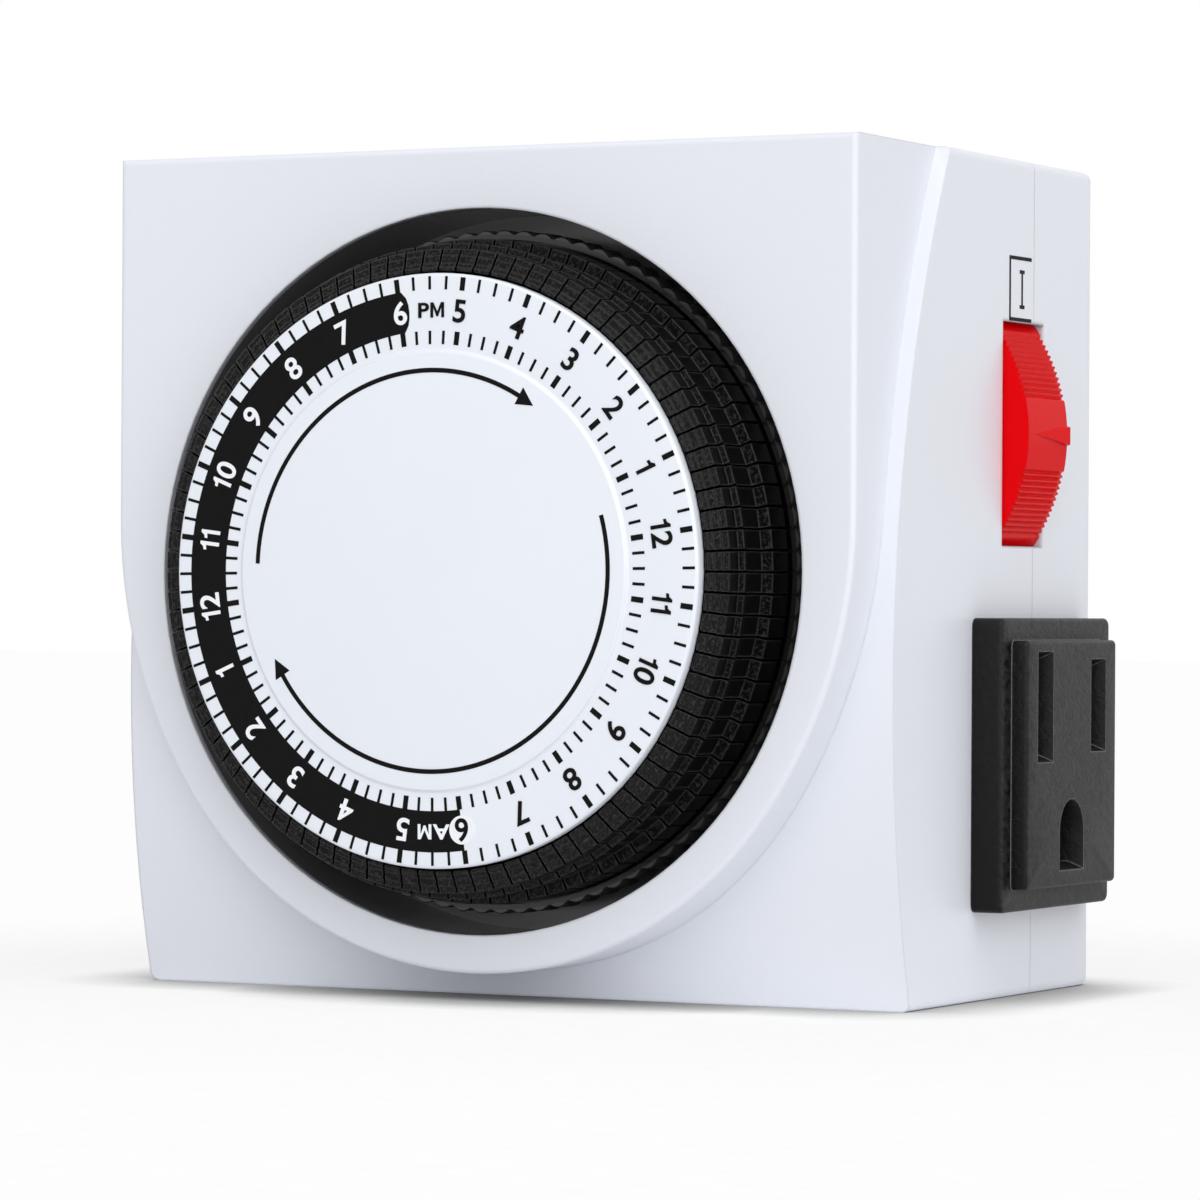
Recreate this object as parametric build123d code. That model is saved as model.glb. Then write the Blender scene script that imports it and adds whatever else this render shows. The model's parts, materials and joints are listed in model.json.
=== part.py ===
from build123d import *
from math import acos, asin, atan2, cos, degrees, pi, radians, sin, sqrt, tan
import os

# Plug-in 24 hour timer switch. Millimetres, +Z up. The dial faces -Y, the plug leaves along +Y.
# The origin is the middle of the flat bottom face. "Depth" means the distance behind the plane
# of the tower's front face, positive towards the plug. The dial sets the housing's width and
# height, and the movement behind it sets the depth.

# ---- dial ----------------------------------------------------------------------------------
DISC_R = 26.75         # white dial face
DISC_FRONT = -7.8      # depth of its front
DISC_T = 1.2
DISC_BACK = DISC_FRONT + DISC_T
DISC_PAD_R = 19.8      # raised centre
DISC_PAD = 0.3
DISC_EDGE_R = 0.35

# ---- segments ------------------------------------------------------------------------------
HOURS = 24
PER_HOUR = 4
SEG_COUNT = HOURS * PER_HOUR
SEG_CLEAR = 0.2        # between the drum and the segments
SEG_GAP = 0.22         # between neighbours
SEG_IN_R = DISC_R + SEG_CLEAR
SEG_STEPS = ((0.35, 0.9), (0.75, 1.15), (1.45, 1.4), (2.05, 1.7), (2.65, 3.5))  # nose: out, down
SEG_NECK = 2.2         # waist between the stepped nose and the outer block
SEG_NECK_DOWN = 4.3
SEG_NECK_SLANT = 0.2
SEG_W = 3.3            # radial width over nose and block
SEG_OUT_R = SEG_IN_R + SEG_W
SEG_BLOCK_TOP = 0.0    # the outer block is level with the tower's face
SEG_BACK = 3.2
SEG_TRAVEL = 2.5
STEM_SET = 0.45        # stem that passes through the flange
STEM_DEEP = 1.2
STEM_W = 1.1
STEM_GAP = 0.15
STEM_OUT = 1.2         # how far the stem stands out of the flange at rest
STEM_IN_R = SEG_IN_R + STEM_SET
STEM_OUT_R = STEM_IN_R + STEM_DEEP

# ---- dial body -----------------------------------------------------------------------------
DRUM_R = DISC_R        # wall inside the segments
DRUM_WALL = 2.0
DRUM_HOLE_R = 7.5      # recess for the clip behind the dial face
SPOKES = 6
SPOKE_T = 2.0
FLANGE_CLEAR = 0.3     # behind a pushed segment
FLANGE_T = 1.2
FLANGE_DEPTH = SEG_BACK + SEG_TRAVEL + FLANGE_CLEAR
FLANGE_BACK = FLANGE_DEPTH + FLANGE_T
SKIRT_GAP = 0.2        # between the segments and the ribbed skirt
SKIRT_T = 0.45
SKIRT_SET = 0.4        # the skirt starts behind the segments by this
SKIRT_R = SEG_OUT_R + SKIRT_GAP + SKIRT_T
RIB_DEEP = 0.25        # grooves between the skirt's ribs
RIB_GROOVE = 1.2
HUB_R = 8.6            # rear hub through the well's floor
SPIGOT_R = 6.0         # seat of the dial gear

# ---- dial well -----------------------------------------------------------------------------
WELL_GAP = 2.2         # between skirt and wall
WELL_WALL = 1.1
WELL_START = 0.8       # depth where the black wall begins behind the white lip
WELL_R = SKIRT_R + WELL_GAP
STEM_END = FLANGE_BACK + STEM_OUT
WELL_CLEAR = 0.6       # in front of the floor when a segment is pushed
WELL_FLOOR = STEM_END + SEG_TRAVEL + WELL_CLEAR
WELL_FLOOR_T = 1.6
WELL_BACK = WELL_FLOOR + WELL_FLOOR_T
WELL_HOLE_GAP = 0.4    # round the dial's hub
POST_R = 2.5           # three posts behind the well that carry the movement plate
POST_SET = 1.2         # how far their circle lies inside the well's outside
POST_ANGLES = (30.0, 150.0, 300.0)
POST_FLOOR = 2.0       # solid foot under each post's pilot hole
SOCKET_FLOOR = 0.6     # front skin in front of the idler shaft's socket

# ---- movement ------------------------------------------------------------------------------
RUN_GAP = 0.06         # radial running clearance of shafts in their bores
DIAL_TEETH = 80
IDLER_TEETH = 50
PINION_TEETH = 10
GEAR_SET = 2.95        # pitch circle of the dial gear inside the segments
MODULE = 2 * (SEG_IN_R - GEAR_SET) / DIAL_TEETH
ADDENDUM = 0.8         # in modules
DEDENDUM = 1.25
ROOT_SHARE = 0.6       # tooth width at the root, as a share of the tooth spacing
TIP_SHARE = 0.2        # tooth width at the tip
DIAL_GEAR_GAP = 1.9    # behind the well
DIAL_GEAR_T = 2.6
DIAL_GEAR_DEPTH = WELL_BACK + DIAL_GEAR_GAP
PINION_EXTRA = 0.4     # the idler's pinion starts in front of the dial gear
IDLER_GEAR_GAP = 1.2   # the idler's wheel runs behind the dial gear
IDLER_GEAR_T = 2.4
IDLER_GEAR_DEPTH = DIAL_GEAR_DEPTH + DIAL_GEAR_T + IDLER_GEAR_GAP
IDLER_DROP = 19.1      # idler's axis below the dial's axis
IDLER_SHAFT_R = 1.0
PLATE_GAP = 0.8        # movement plate behind the idler's wheel
PLATE_T = 1.6
PLATE_DEPTH = IDLER_GEAR_DEPTH + IDLER_GEAR_T + PLATE_GAP
PLATE_BACK = PLATE_DEPTH + PLATE_T
PLATE_MARGIN = 4.6     # below and above it
PLATE_SIDE_GAP = 0.5   # between it and the outlets' bodies
PLATE_CORNER_R = 4.0
WASHER_GAP = 0.1
WASHER_T = 0.5         # friction washer that makes the dial stay where it is set
WASHER_SET = 0.3       # its radius under the spigot's
SPINDLE_R = 2.0
SPINDLE_SET = 1.2      # its end behind the dial face
SPINDLE_HEAD_R = 3.0
SPINDLE_HEAD = 1.0
SPINDLE_END = DISC_BACK + SPINDLE_SET
CLIP_SET = 0.5         # clip's groove behind the spindle's end
CLIP_T = 0.8
CLIP_R = 4.2
CLIP_BITE = 0.4
CLIP_MOUTH = 1.8
CLIP_GAP = 0.1
MOTOR_R = 15.0
MOTOR_L = 13.2
MOTOR_EDGE_R = 1.5
MOTOR_TAB_W = 12.0     # terminal block on the motor's edge
MOTOR_TAB_OUT = 1.0
MOTOR_TAB_SHORT = 3.0
MOTOR_SHAFT_R = 1.0

# ---- follower and switch contacts ------------------------------------------------------------
FOLLOWER_X = 14.0      # pivot
FOLLOWER_GAP = 2.2     # pivot behind the well
FOLLOWER_DEPTH = WELL_BACK + FOLLOWER_GAP
FOLLOWER_PIN_R = 1.0
FOLLOWER_H = 3.0
FOLLOWER_T = 2.0
FOLLOWER_TAIL = 11.0   # from the pivot to the contact end
FOLLOWER_HUB_R = 2.2
NOSE_W = 1.8
NOSE_H = 1.2
NOSE_CLEAR = 0.4       # behind the tip of a pushed segment
NOSE_DEPTH = STEM_END + SEG_TRAVEL + NOSE_CLEAR
LUG_GAP = 0.9          # lever to lug
LUG_T = 2.0
LUG_W = 4.0
HUB_CLEAR = 0.1
CONTACT_X = FOLLOWER_X + 9.0
CONTACT_R = 1.0
CONTACT_SET = 0.4      # contact strips inside the lever's width
LEAF_T = 0.3
RIVET_OUT = 0.3
CONTACT_GAP = 0.1      # between the rivets when a segment holds the nose back

# ---- housing -------------------------------------------------------------------------------
WALL = 2.0             # side, top, bottom and rear walls
FRONT_WALL = 2.2       # tower face and arched front
SIDE_BAND = 6.7        # from the well to the side faces
TOP_BAND = 5.6         # from the well to the top face
TOWER_STEP = 1.6       # the tower is narrower than the body on each side
TOWER_BAND = 3.5       # from the well to the tower's bottom arc
TOWER_FOOT = 2.5       # lowest point of that arc above the bottom face
TOWER_SHOULDER = 8.4   # added radius of the arcs that lead into the bottom arc
TOWER_ARC_R = WELL_R + TOWER_BAND
TOWER_SHOULDER_R = TOWER_ARC_R + TOWER_SHOULDER
DIAL_Z = TOWER_ARC_R + TOWER_FOOT
BODY_W = 2 * (WELL_R + SIDE_BAND)
BODY_H = DIAL_Z + WELL_R + TOP_BAND
TOWER_W = BODY_W - 2 * TOWER_STEP
ARCH_R = 106.0         # radius of the arched front, whose axis lies along X
ARCH_DEPTH = 4.8       # depth of the arch's foremost line
ARCH_Z = 28.8          # height of that line
REAR_CORNER_R = 3.0    # upright rear corners
EDGE_R = 0.8           # moulded outer edges
TOWER_EDGE_R = 0.5     # edge round the tower's face
LIP = 1.0              # tongue of the rear cover inside the front housing's rim
LIP_DEPTH = 1.6
LIP_CORNER_R = 0.5

# ---- plug and bus bars -----------------------------------------------------------------------
BUS_T = 0.6
BUS_H = 2.8            # height of the two current bars
BUS_STEP = 3.0         # depth from one bar to the next
BUS_OFFSET = 2.0       # height of the bars from the slots' middle line
BUS_TAB_W = 4.8
BUS_TAB_END = 3.0      # tab above the plug's middle line
BUS_ARM_END = 1.2      # arm past the contact's middle
MOTOR_CLEAR = 2.2
NEUTRAL_BUS = PLATE_BACK + MOTOR_L + MOTOR_CLEAR
LINE_BUS = NEUTRAL_BUS + BUS_STEP
GROUND_BUS = LINE_BUS + BUS_STEP
INSULATOR_T = 3.9
INSULATOR_W = 22.0
INSULATOR_EDGE = 2.0   # above the blades
INSULATOR_FOOT = 5.0   # below the ground pin's axis
BODY_D = GROUND_BUS + 2 * BUS_T + INSULATOR_T + WALL
PLUG_Z = DIAL_Z + 7.9
BLADE_PITCH = 12.7     # standard spacing of two blades or slots
GROUND_DROP = 11.9     # ground pin or hole below the line through them
BLADE_H = 6.35
BLADE_T = 1.5
BLADE_OUT = 17.5
BLADE_TIP = 1.2        # tapered tip
BLADE_HOLE_R = 1.6
BLADE_HOLE_SET = 4.2
PIN_R = 2.4
PIN_OUT = 20.5
PIN_TIP = 1.7          # rounded tip
PIN_NECK_R = 2.6       # thicker neck inside the rear wall
PIN_COLLAR_R = 3.3     # collar trapped between wall and insulator
PIN_COLLAR_T = 1.2
PIN_TAIL_R = 1.9

# ---- outlets -------------------------------------------------------------------------------
OUTLET_H = 26.9        # outer block
OUTLET_D = 25.8
OUTLET_RISE = 3.0
OUTLET_FOOT = 8.25     # its lower edge above the bottom face
OUTLET_REAR = 1.25     # its rear edge to the start of the rear corner
FACE_H = 22.8          # inner block
FACE_D = 21.4
FACE_RISE = 1.6
OUTLET_EDGE_R = 0.4
SEAT = 1.0             # receptacle's seat behind the side wall
SEAT_EXTRA = 0.8       # the inner body is deeper than its opening
OUTLET_L = 15.3        # receptacle's body inside the side face
OUTLET_Z = OUTLET_FOOT + OUTLET_H / 2
OUTLET_DEPTH = BODY_D - REAR_CORNER_R - OUTLET_REAR - OUTLET_D / 2
OUTLET_INNER_X = BODY_W / 2 - OUTLET_L
BUS_ARM_X = OUTLET_INNER_X - BUS_T
SLOT_RAISE = 5.3       # slots above the block's middle
SLOT_Z = OUTLET_Z + SLOT_RAISE
GROUND_Z = SLOT_Z - GROUND_DROP
SLOT_W = 2.4
LINE_SLOT = 7.4
NEUTRAL_SLOT = 8.9
BEVEL = 0.5            # lead-in round each slot
BEVEL_DEEP = 1.2
SLOT_SKIN = 3.1        # narrow part of each slot, behind it the chamber for its clip
CHAMBER_W = 2.6        # added to the slot's width and length in the chamber
CHAMBER_H = 1.0
GROUND_W = 5.8
GROUND_H = 6.6
GROUND_SKIN = 7.6
GROUND_CHAMBER = 1.6
CLIP_LEAF = 0.6        # brass of the contact clips
CLIP_SHORT = 0.5       # clips end this far behind the slots' narrow part
CLIP_PLAY = 0.1        # beside a blade
NEUTRAL_CLIP = 5.4
LINE_CLIP = 4.6
GROUND_CLIP_L = 8.0
GROUND_CLIP_SHORT = 1.0
PIN_PLAY = 0.05        # beside a ground pin

# ---- override selector ---------------------------------------------------------------------
SEAM_SET = 1.15        # seam behind the outlets' middle
SEAM_DEPTH = OUTLET_DEPTH + SEAM_SET
SELECTOR_Z = DIAL_Z + 13.1
SELECTOR_SET = 2.5     # middle of its width in front of the seam
SELECTOR_DEPTH = SEAM_DEPTH - SELECTOR_SET
SELECTOR_W = 9.2
SELECTOR_R = 18.0      # radius of the thumb surface
SELECTOR_RISE = 3.05   # how far it stands out of the side wall
SELECTOR_X = BODY_W / 2 + SELECTOR_RISE - SELECTOR_R
SELECTOR_TURN = 8.0    # degrees each way
SELECTOR_SPARE = 2.0   # degrees of rim still behind the wall at full turn
SELECTOR_RIM = 3.4     # thickness of the rim behind the thumb surface
SELECTOR_SPOKE = 4.2
SELECTOR_HUB_R = 2.8
SELECTOR_PIN_R = 1.2
SELECTOR_GAP = 0.2     # clearance between the selector and the housing
THUMB_PITCH = 0.85     # thumb ribs
THUMB_GROOVE = 0.34
THUMB_SMOOTH = 3.8     # half height of the smooth middle
POINTER_W = 3.0        # wedge on the smooth middle
POINTER_RISE = 0.55
POINTER_START = 1.2
POINTER_END = 0.6
BRACKET_R = 2.6        # ribs that hold its pin
BRACKET_T = 3.0

# ---- screws --------------------------------------------------------------------------------
BOSS_INSET = 6.2       # screw bosses from the side, top and bottom faces
BOSS_R = 3.6
SCREW_R = 1.3
SCREW_HEAD_R = 2.6
SCREW_HEAD = 2.0
SCREW_HEAD_GAP = 0.1
SCREW_RECESS = 9.1     # from the rear face to the heads' seat
SCREW_BITE = 10.1      # thread past the seam
SCREW_SEAT = BODY_D - SCREW_RECESS
SCREW_TIP = SEAM_DEPTH - SCREW_BITE
PLATE_SCREW_L = 6.0
PLATE_SCREW_HEAD_R = 2.2
PLATE_SCREW_HEAD = 1.2
STANDOFF_X = 20.0      # rear cover posts that press on the movement plate
STANDOFF_R = 2.2
STANDOFF_INSET = 2.9   # from the plate's lower and upper edges

# ---- construction --------------------------------------------------------------------------
PAST = 1.0             # how far a cut runs past the faces it opens
BITE = 0.1             # how far two forms of one solid run into each other


def arch(z, inset=0.0):
    """Depth of the arched front at height z, inset into the wall."""
    r = ARCH_R - inset
    return ARCH_DEPTH + ARCH_R - sqrt(r * r - (z - ARCH_Z) ** 2)


FOOT_DEPTH = BODY_D - arch(0)
FACE_Y = FOOT_DEPTH / 2 - BODY_D      # y of the tower's face


# ---- places and basic forms ------------------------------------------------------------------
def at(depth):
    return FACE_Y + depth


def front_plane(depth):
    """Sketch plane across the body: local x is X, local y is Z, looking from the dial's side."""
    return Plane(origin=(0, at(depth), 0), x_dir=(1, 0, 0), z_dir=(0, -1, 0))


def slab(sketch, start, end):
    """Extrudes a sketch, or a list of them, drawn in X and Z, from one depth to another."""
    if isinstance(sketch, list):
        sketch = Sketch() + sketch
    return extrude(front_plane(start) * sketch, amount=-(end - start))


def block(x0, x1, d0, d1, z0, z1):
    """Box between two X, two depths and two heights."""
    size = (x1 - x0, d1 - d0, z1 - z0)
    return Pos((x0 + x1) / 2, at((d0 + d1) / 2), (z0 + z1) / 2) * Box(*size)


def rod(x, z, r, start, end, hole=0.0):
    """Round bar or tube along the depth."""
    ring = Circle(r) - Circle(hole) if hole else Circle(r)
    return slab(Pos(x, z) * ring, start, end)


def turned(points):
    """Solid of revolution about the dial's axis, from (radius, depth) points."""
    outline = Polyline(*[(r, at(d)) for r, d in points], close=True)
    return Pos(0, 0, DIAL_Z) * revolve(make_face(outline), axis=Axis.Y)


def on_dial(sketches):
    """Sketches drawn about the dial's axis, moved to it."""
    return [Pos(0, DIAL_Z) * s for s in sketches]


def round_the_dial(sketch, count, offset=0.0):
    """Copies of a sketch on the +X side, evenly spaced about the dial's axis."""
    return on_dial([Rot(0, 0, (i + offset) * 360 / count) * sketch for i in range(count)])


def polar(r, angle):
    """X and Z of a point round the dial's axis; angle counts from +X towards +Z."""
    return r * cos(radians(angle)), DIAL_Z + r * sin(radians(angle))


def boss_places():
    x, low, high = BODY_W / 2 - BOSS_INSET, BOSS_INSET, BODY_H - BOSS_INSET
    return [(-x, low), (-x, high), (x, low), (x, high)]


def standoff_places():
    low = PLATE_MARGIN + STANDOFF_INSET
    return [(x, z) for x in (-STANDOFF_X, STANDOFF_X) for z in (low, BODY_H - low)]


def post_places():
    return [polar(WELL_R + WELL_WALL - POST_SET, a) for a in POST_ANGLES]


def idler_angle():
    return 180 + degrees(asin(IDLER_DROP / (MODULE * (DIAL_TEETH + PINION_TEETH) / 2)))


def idler_place():
    return polar(MODULE * (DIAL_TEETH + PINION_TEETH) / 2, idler_angle())


def motor_place():
    x, z = idler_place()
    return x + MODULE * (IDLER_TEETH + PINION_TEETH) / 2, z


def nose_z():
    """Height at which the follower's nose meets the ring of stems."""
    return DIAL_Z + (STEM_IN_R + STEM_OUT_R) / 2


# ---- housing -------------------------------------------------------------------------------
def body_block(inset):
    """Main body without the tower: straight back and sides, arched front."""
    low, high = inset, BODY_H - inset
    back = at(BODY_D - inset)
    front = [(at(arch(z, inset)), z) for z in (high, ARCH_Z, low)]
    outline = Polyline(front[2], (back, low), (back, high), front[0]) + ThreePointArc(*front)
    half = BODY_W / 2 - inset
    return extrude(Plane.YZ.offset(-half) * make_face(outline), amount=2 * half)


def tower_outline(inset):
    """Square top, upright sides, and a round bottom about the dial."""
    half = TOWER_W / 2 - inset
    shoulder = TOWER_SHOULDER_R - inset
    arc = TOWER_ARC_R - inset
    drop = sqrt(TOWER_SHOULDER ** 2 - (half - shoulder) ** 2)
    centre = Vector(half - shoulder, DIAL_Z + drop)
    dial = Vector(0, DIAL_Z)
    tangent = dial + (dial - centre).normalized() * arc
    lean = atan2(tangent.Y - centre.Y, tangent.X - centre.X) / 2
    middle = centre + Vector(cos(lean), sin(lean)) * shoulder
    side = Vector(half, centre.Y)

    def left(p):
        return (-p.X, p.Y)

    top = BODY_H - inset
    outline = Polyline(left(side), (-half, top), (half, top), (side.X, side.Y))
    outline += ThreePointArc((side.X, side.Y), (middle.X, middle.Y), (tangent.X, tangent.Y))
    outline += ThreePointArc((tangent.X, tangent.Y), (0, DIAL_Z - arc), left(tangent))
    outline += ThreePointArc(left(tangent), left(middle), left(side))
    return make_face(outline)


def outer_form():
    """Outside of the closed housing, with its moulded edges rounded."""
    main = body_block(0)
    rear_y = at(BODY_D)
    upright = main.edges().filter_by(Axis.Z).filter_by_position(Axis.Y, rear_y - BITE, rear_y + BITE)
    main = fillet(upright, REAR_CORNER_R)
    rear_face = main.faces().sort_by(Axis.Y)[-1]
    main = fillet(rear_face.edges(), EDGE_R)
    tower = slab(tower_outline(0), 0, FOOT_DEPTH / 2)
    tower = fillet(tower.faces().sort_by(Axis.Y)[0].edges(), TOWER_EDGE_R)
    return main + tower


def side_cuts():
    """Openings for the two outlets and the selector, through both shells."""
    half = BODY_W / 2
    inner = half - WALL - PAST
    d0, d1 = OUTLET_DEPTH - FACE_D / 2, OUTLET_DEPTH + FACE_D / 2
    z0, z1 = OUTLET_Z - FACE_H / 2, OUTLET_Z + FACE_H / 2
    cuts = block(inner, half + PAST, d0, d1, z0, z1)
    cuts += block(-half - PAST, -inner, d0, d1, z0, z1)
    w = SELECTOR_W / 2 + SELECTOR_GAP
    drum = rod(SELECTOR_X, SELECTOR_Z, SELECTOR_R + SELECTOR_GAP, SELECTOR_DEPTH - w, SELECTOR_DEPTH + w)
    return cuts + (drum & block(inner, BODY_W, 0, BODY_D, 0, BODY_H))


def selector_bracket(start):
    """Rib from the right wall that holds one end of the selector's pin."""
    end = start + BRACKET_T
    rib = block(SELECTOR_X, BODY_W / 2 - WALL / 2, start, end, SELECTOR_Z - BRACKET_R, SELECTOR_Z + BRACKET_R)
    rib += rod(SELECTOR_X, SELECTOR_Z, BRACKET_R, start, end)
    return rib - rod(SELECTOR_X, SELECTOR_Z, SELECTOR_PIN_R, start - PAST, end + PAST)


def rim(outside, inside, start, end):
    """Rectangular ring inside the side walls, used for the seam's tongue and rebate."""
    middle = Pos(0, BODY_H / 2)
    ring = middle * RectangleRounded(BODY_W - 2 * outside, BODY_H - 2 * outside, LIP_CORNER_R)
    ring -= middle * Rectangle(BODY_W - 2 * inside, BODY_H - 2 * inside)
    return slab(ring, start, end)


def make_front_housing(outer):
    front = outer & block(-BODY_W, BODY_W, -PAST, SEAM_DEPTH, -PAST, BODY_H + PAST)
    inside = body_block(WALL) + slab(tower_outline(WALL), FRONT_WALL, SEAM_DEPTH)
    front -= inside & block(-BODY_W, BODY_W, 0, SEAM_DEPTH + PAST, 0, BODY_H)
    front -= rod(0, DIAL_Z, WELL_R, -PAST, FRONT_WALL + PAST)
    front -= rod(0, DIAL_Z, WELL_R + WELL_WALL, WELL_START, SEAM_DEPTH)
    for x, z in boss_places():
        front += rod(x, z, BOSS_R, arch(z, FRONT_WALL / 2), SEAM_DEPTH)
    for x, z in boss_places():
        front -= rod(x, z, SCREW_R, SCREW_TIP - PAST, SEAM_DEPTH)
    front += selector_bracket(SELECTOR_DEPTH - SELECTOR_W / 2 - SELECTOR_GAP - BRACKET_T)
    front -= rim(WALL - LIP, WALL + LIP, SEAM_DEPTH - LIP_DEPTH, SEAM_DEPTH)
    return front - side_cuts()


def blade_block(side, d0, d1):
    """Straight bar with a blade's section on one side of the plug."""
    x = side * BLADE_PITCH / 2
    return block(x - BLADE_T / 2, x + BLADE_T / 2, d0, d1, PLUG_Z - BLADE_H / 2, PLUG_Z + BLADE_H / 2)


def make_rear_cover(outer):
    rear = outer & block(-BODY_W, BODY_W, SEAM_DEPTH, BODY_D + PAST, -PAST, BODY_H + PAST)
    rear -= body_block(WALL) & block(-BODY_W, BODY_W, 0, BODY_D, 0, BODY_H)
    rear += rim(WALL - LIP, WALL, SEAM_DEPTH - LIP_DEPTH, SEAM_DEPTH)
    for x, z in boss_places():
        rear += rod(x, z, BOSS_R, SEAM_DEPTH, BODY_D - WALL / 2)
    for x, z in standoff_places():
        rear += rod(x, z, STANDOFF_R, PLATE_BACK, BODY_D - WALL / 2)
    rear += selector_bracket(SELECTOR_DEPTH + SELECTOR_W / 2 + SELECTOR_GAP)
    for x, z in boss_places():
        rear -= rod(x, z, SCREW_R, SEAM_DEPTH - PAST, BODY_D)
        rear -= rod(x, z, SCREW_HEAD_R + SCREW_HEAD_GAP, SCREW_SEAT, BODY_D + PAST)
    for side in (-1, 1):
        rear -= blade_block(side, BODY_D - WALL - PAST, BODY_D + PAST)
    rear -= rod(0, PLUG_Z - GROUND_DROP, PIN_NECK_R, BODY_D - WALL - PAST, BODY_D + PAST)
    return rear - side_cuts()


def make_housing_screws():
    screws = []
    for x, z in boss_places():
        shank = rod(x, z, SCREW_R, SCREW_TIP, SCREW_SEAT)
        screws.append(shank + rod(x, z, SCREW_HEAD_R, SCREW_SEAT, SCREW_SEAT + SCREW_HEAD))
    return screws


# ---- dial well and movement plate -----------------------------------------------------------
def make_dial_well():
    out = WELL_R + WELL_WALL
    hole = HUB_R + WELL_HOLE_GAP
    well = turned([(WELL_R, WELL_START), (out, WELL_START), (out, WELL_BACK), (hole, WELL_BACK),
                   (hole, WELL_FLOOR), (WELL_R, WELL_FLOOR)])
    for x, z in post_places():
        well += rod(x, z, POST_R, WELL_BACK - BITE, PLATE_DEPTH)
    for x, z in post_places():
        well -= rod(x, z, SCREW_R, WELL_BACK + POST_FLOOR, PLATE_DEPTH + PAST)
    half = FOLLOWER_H / 2
    well -= block(-half, half, WELL_FLOOR - PAST, WELL_BACK + PAST, nose_z() - half, nose_z() + half)
    x, z = idler_place()
    return well - rod(x, z, IDLER_SHAFT_R, WELL_FLOOR + SOCKET_FLOOR, WELL_BACK + PAST)


def make_movement_plate():
    width = 2 * (OUTLET_INNER_X - PLATE_SIDE_GAP)
    outline = Pos(0, BODY_H / 2) * RectangleRounded(width, BODY_H - 2 * PLATE_MARGIN, PLATE_CORNER_R)
    plate = slab(outline, PLATE_DEPTH, PLATE_BACK)
    for x, z in post_places():
        plate += rod(x, z, POST_R, PLATE_DEPTH, PLATE_BACK)
        plate += block(min(x, 0), max(x, 0), PLATE_DEPTH, PLATE_BACK, z - POST_R, z + POST_R)
    boss_top = DIAL_GEAR_DEPTH + DIAL_GEAR_T + WASHER_GAP + WASHER_T
    plate += rod(0, DIAL_Z, SPIGOT_R, boss_top, PLATE_DEPTH + BITE)
    for z0, z1 in lug_heights():
        plate += block(FOLLOWER_X - LUG_W / 2, FOLLOWER_X + LUG_W / 2, FOLLOWER_DEPTH - LUG_W / 2,
                       PLATE_DEPTH + BITE, z0, z1)
    plate -= rod(0, DIAL_Z, SPINDLE_R, boss_top - PAST, PLATE_BACK + PAST)
    plate -= rod(*idler_place(), IDLER_SHAFT_R, PLATE_DEPTH - PAST, PLATE_BACK + PAST)
    plate -= rod(*motor_place(), MODULE * PINION_TEETH, PLATE_DEPTH - PAST, PLATE_BACK + PAST)
    plate -= follower_pin_solid()
    for x, z in post_places():
        plate -= rod(x, z, SCREW_R, PLATE_DEPTH - PAST, PLATE_BACK + PAST)
    return plate


def make_plate_screws():
    screws = []
    for x, z in post_places():
        shank = rod(x, z, SCREW_R, PLATE_DEPTH - PLATE_SCREW_L, PLATE_BACK)
        screws.append(shank + rod(x, z, PLATE_SCREW_HEAD_R, PLATE_BACK, PLATE_BACK + PLATE_SCREW_HEAD))
    return screws


# ---- dial ----------------------------------------------------------------------------------
def make_dial_face():
    pad = DISC_FRONT - DISC_PAD
    disc = turned([(0, pad), (DISC_PAD_R, pad), (DISC_PAD_R, DISC_FRONT), (DISC_R, DISC_FRONT),
                   (DISC_R, DISC_BACK), (0, DISC_BACK)])
    circles = disc.edges().filter_by(GeomType.CIRCLE)
    front_rim = [e for e in circles if e.radius > DISC_R - BITE and e.center().Y < at(DISC_FRONT) + BITE]
    return fillet(front_rim, DISC_EDGE_R)


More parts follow.
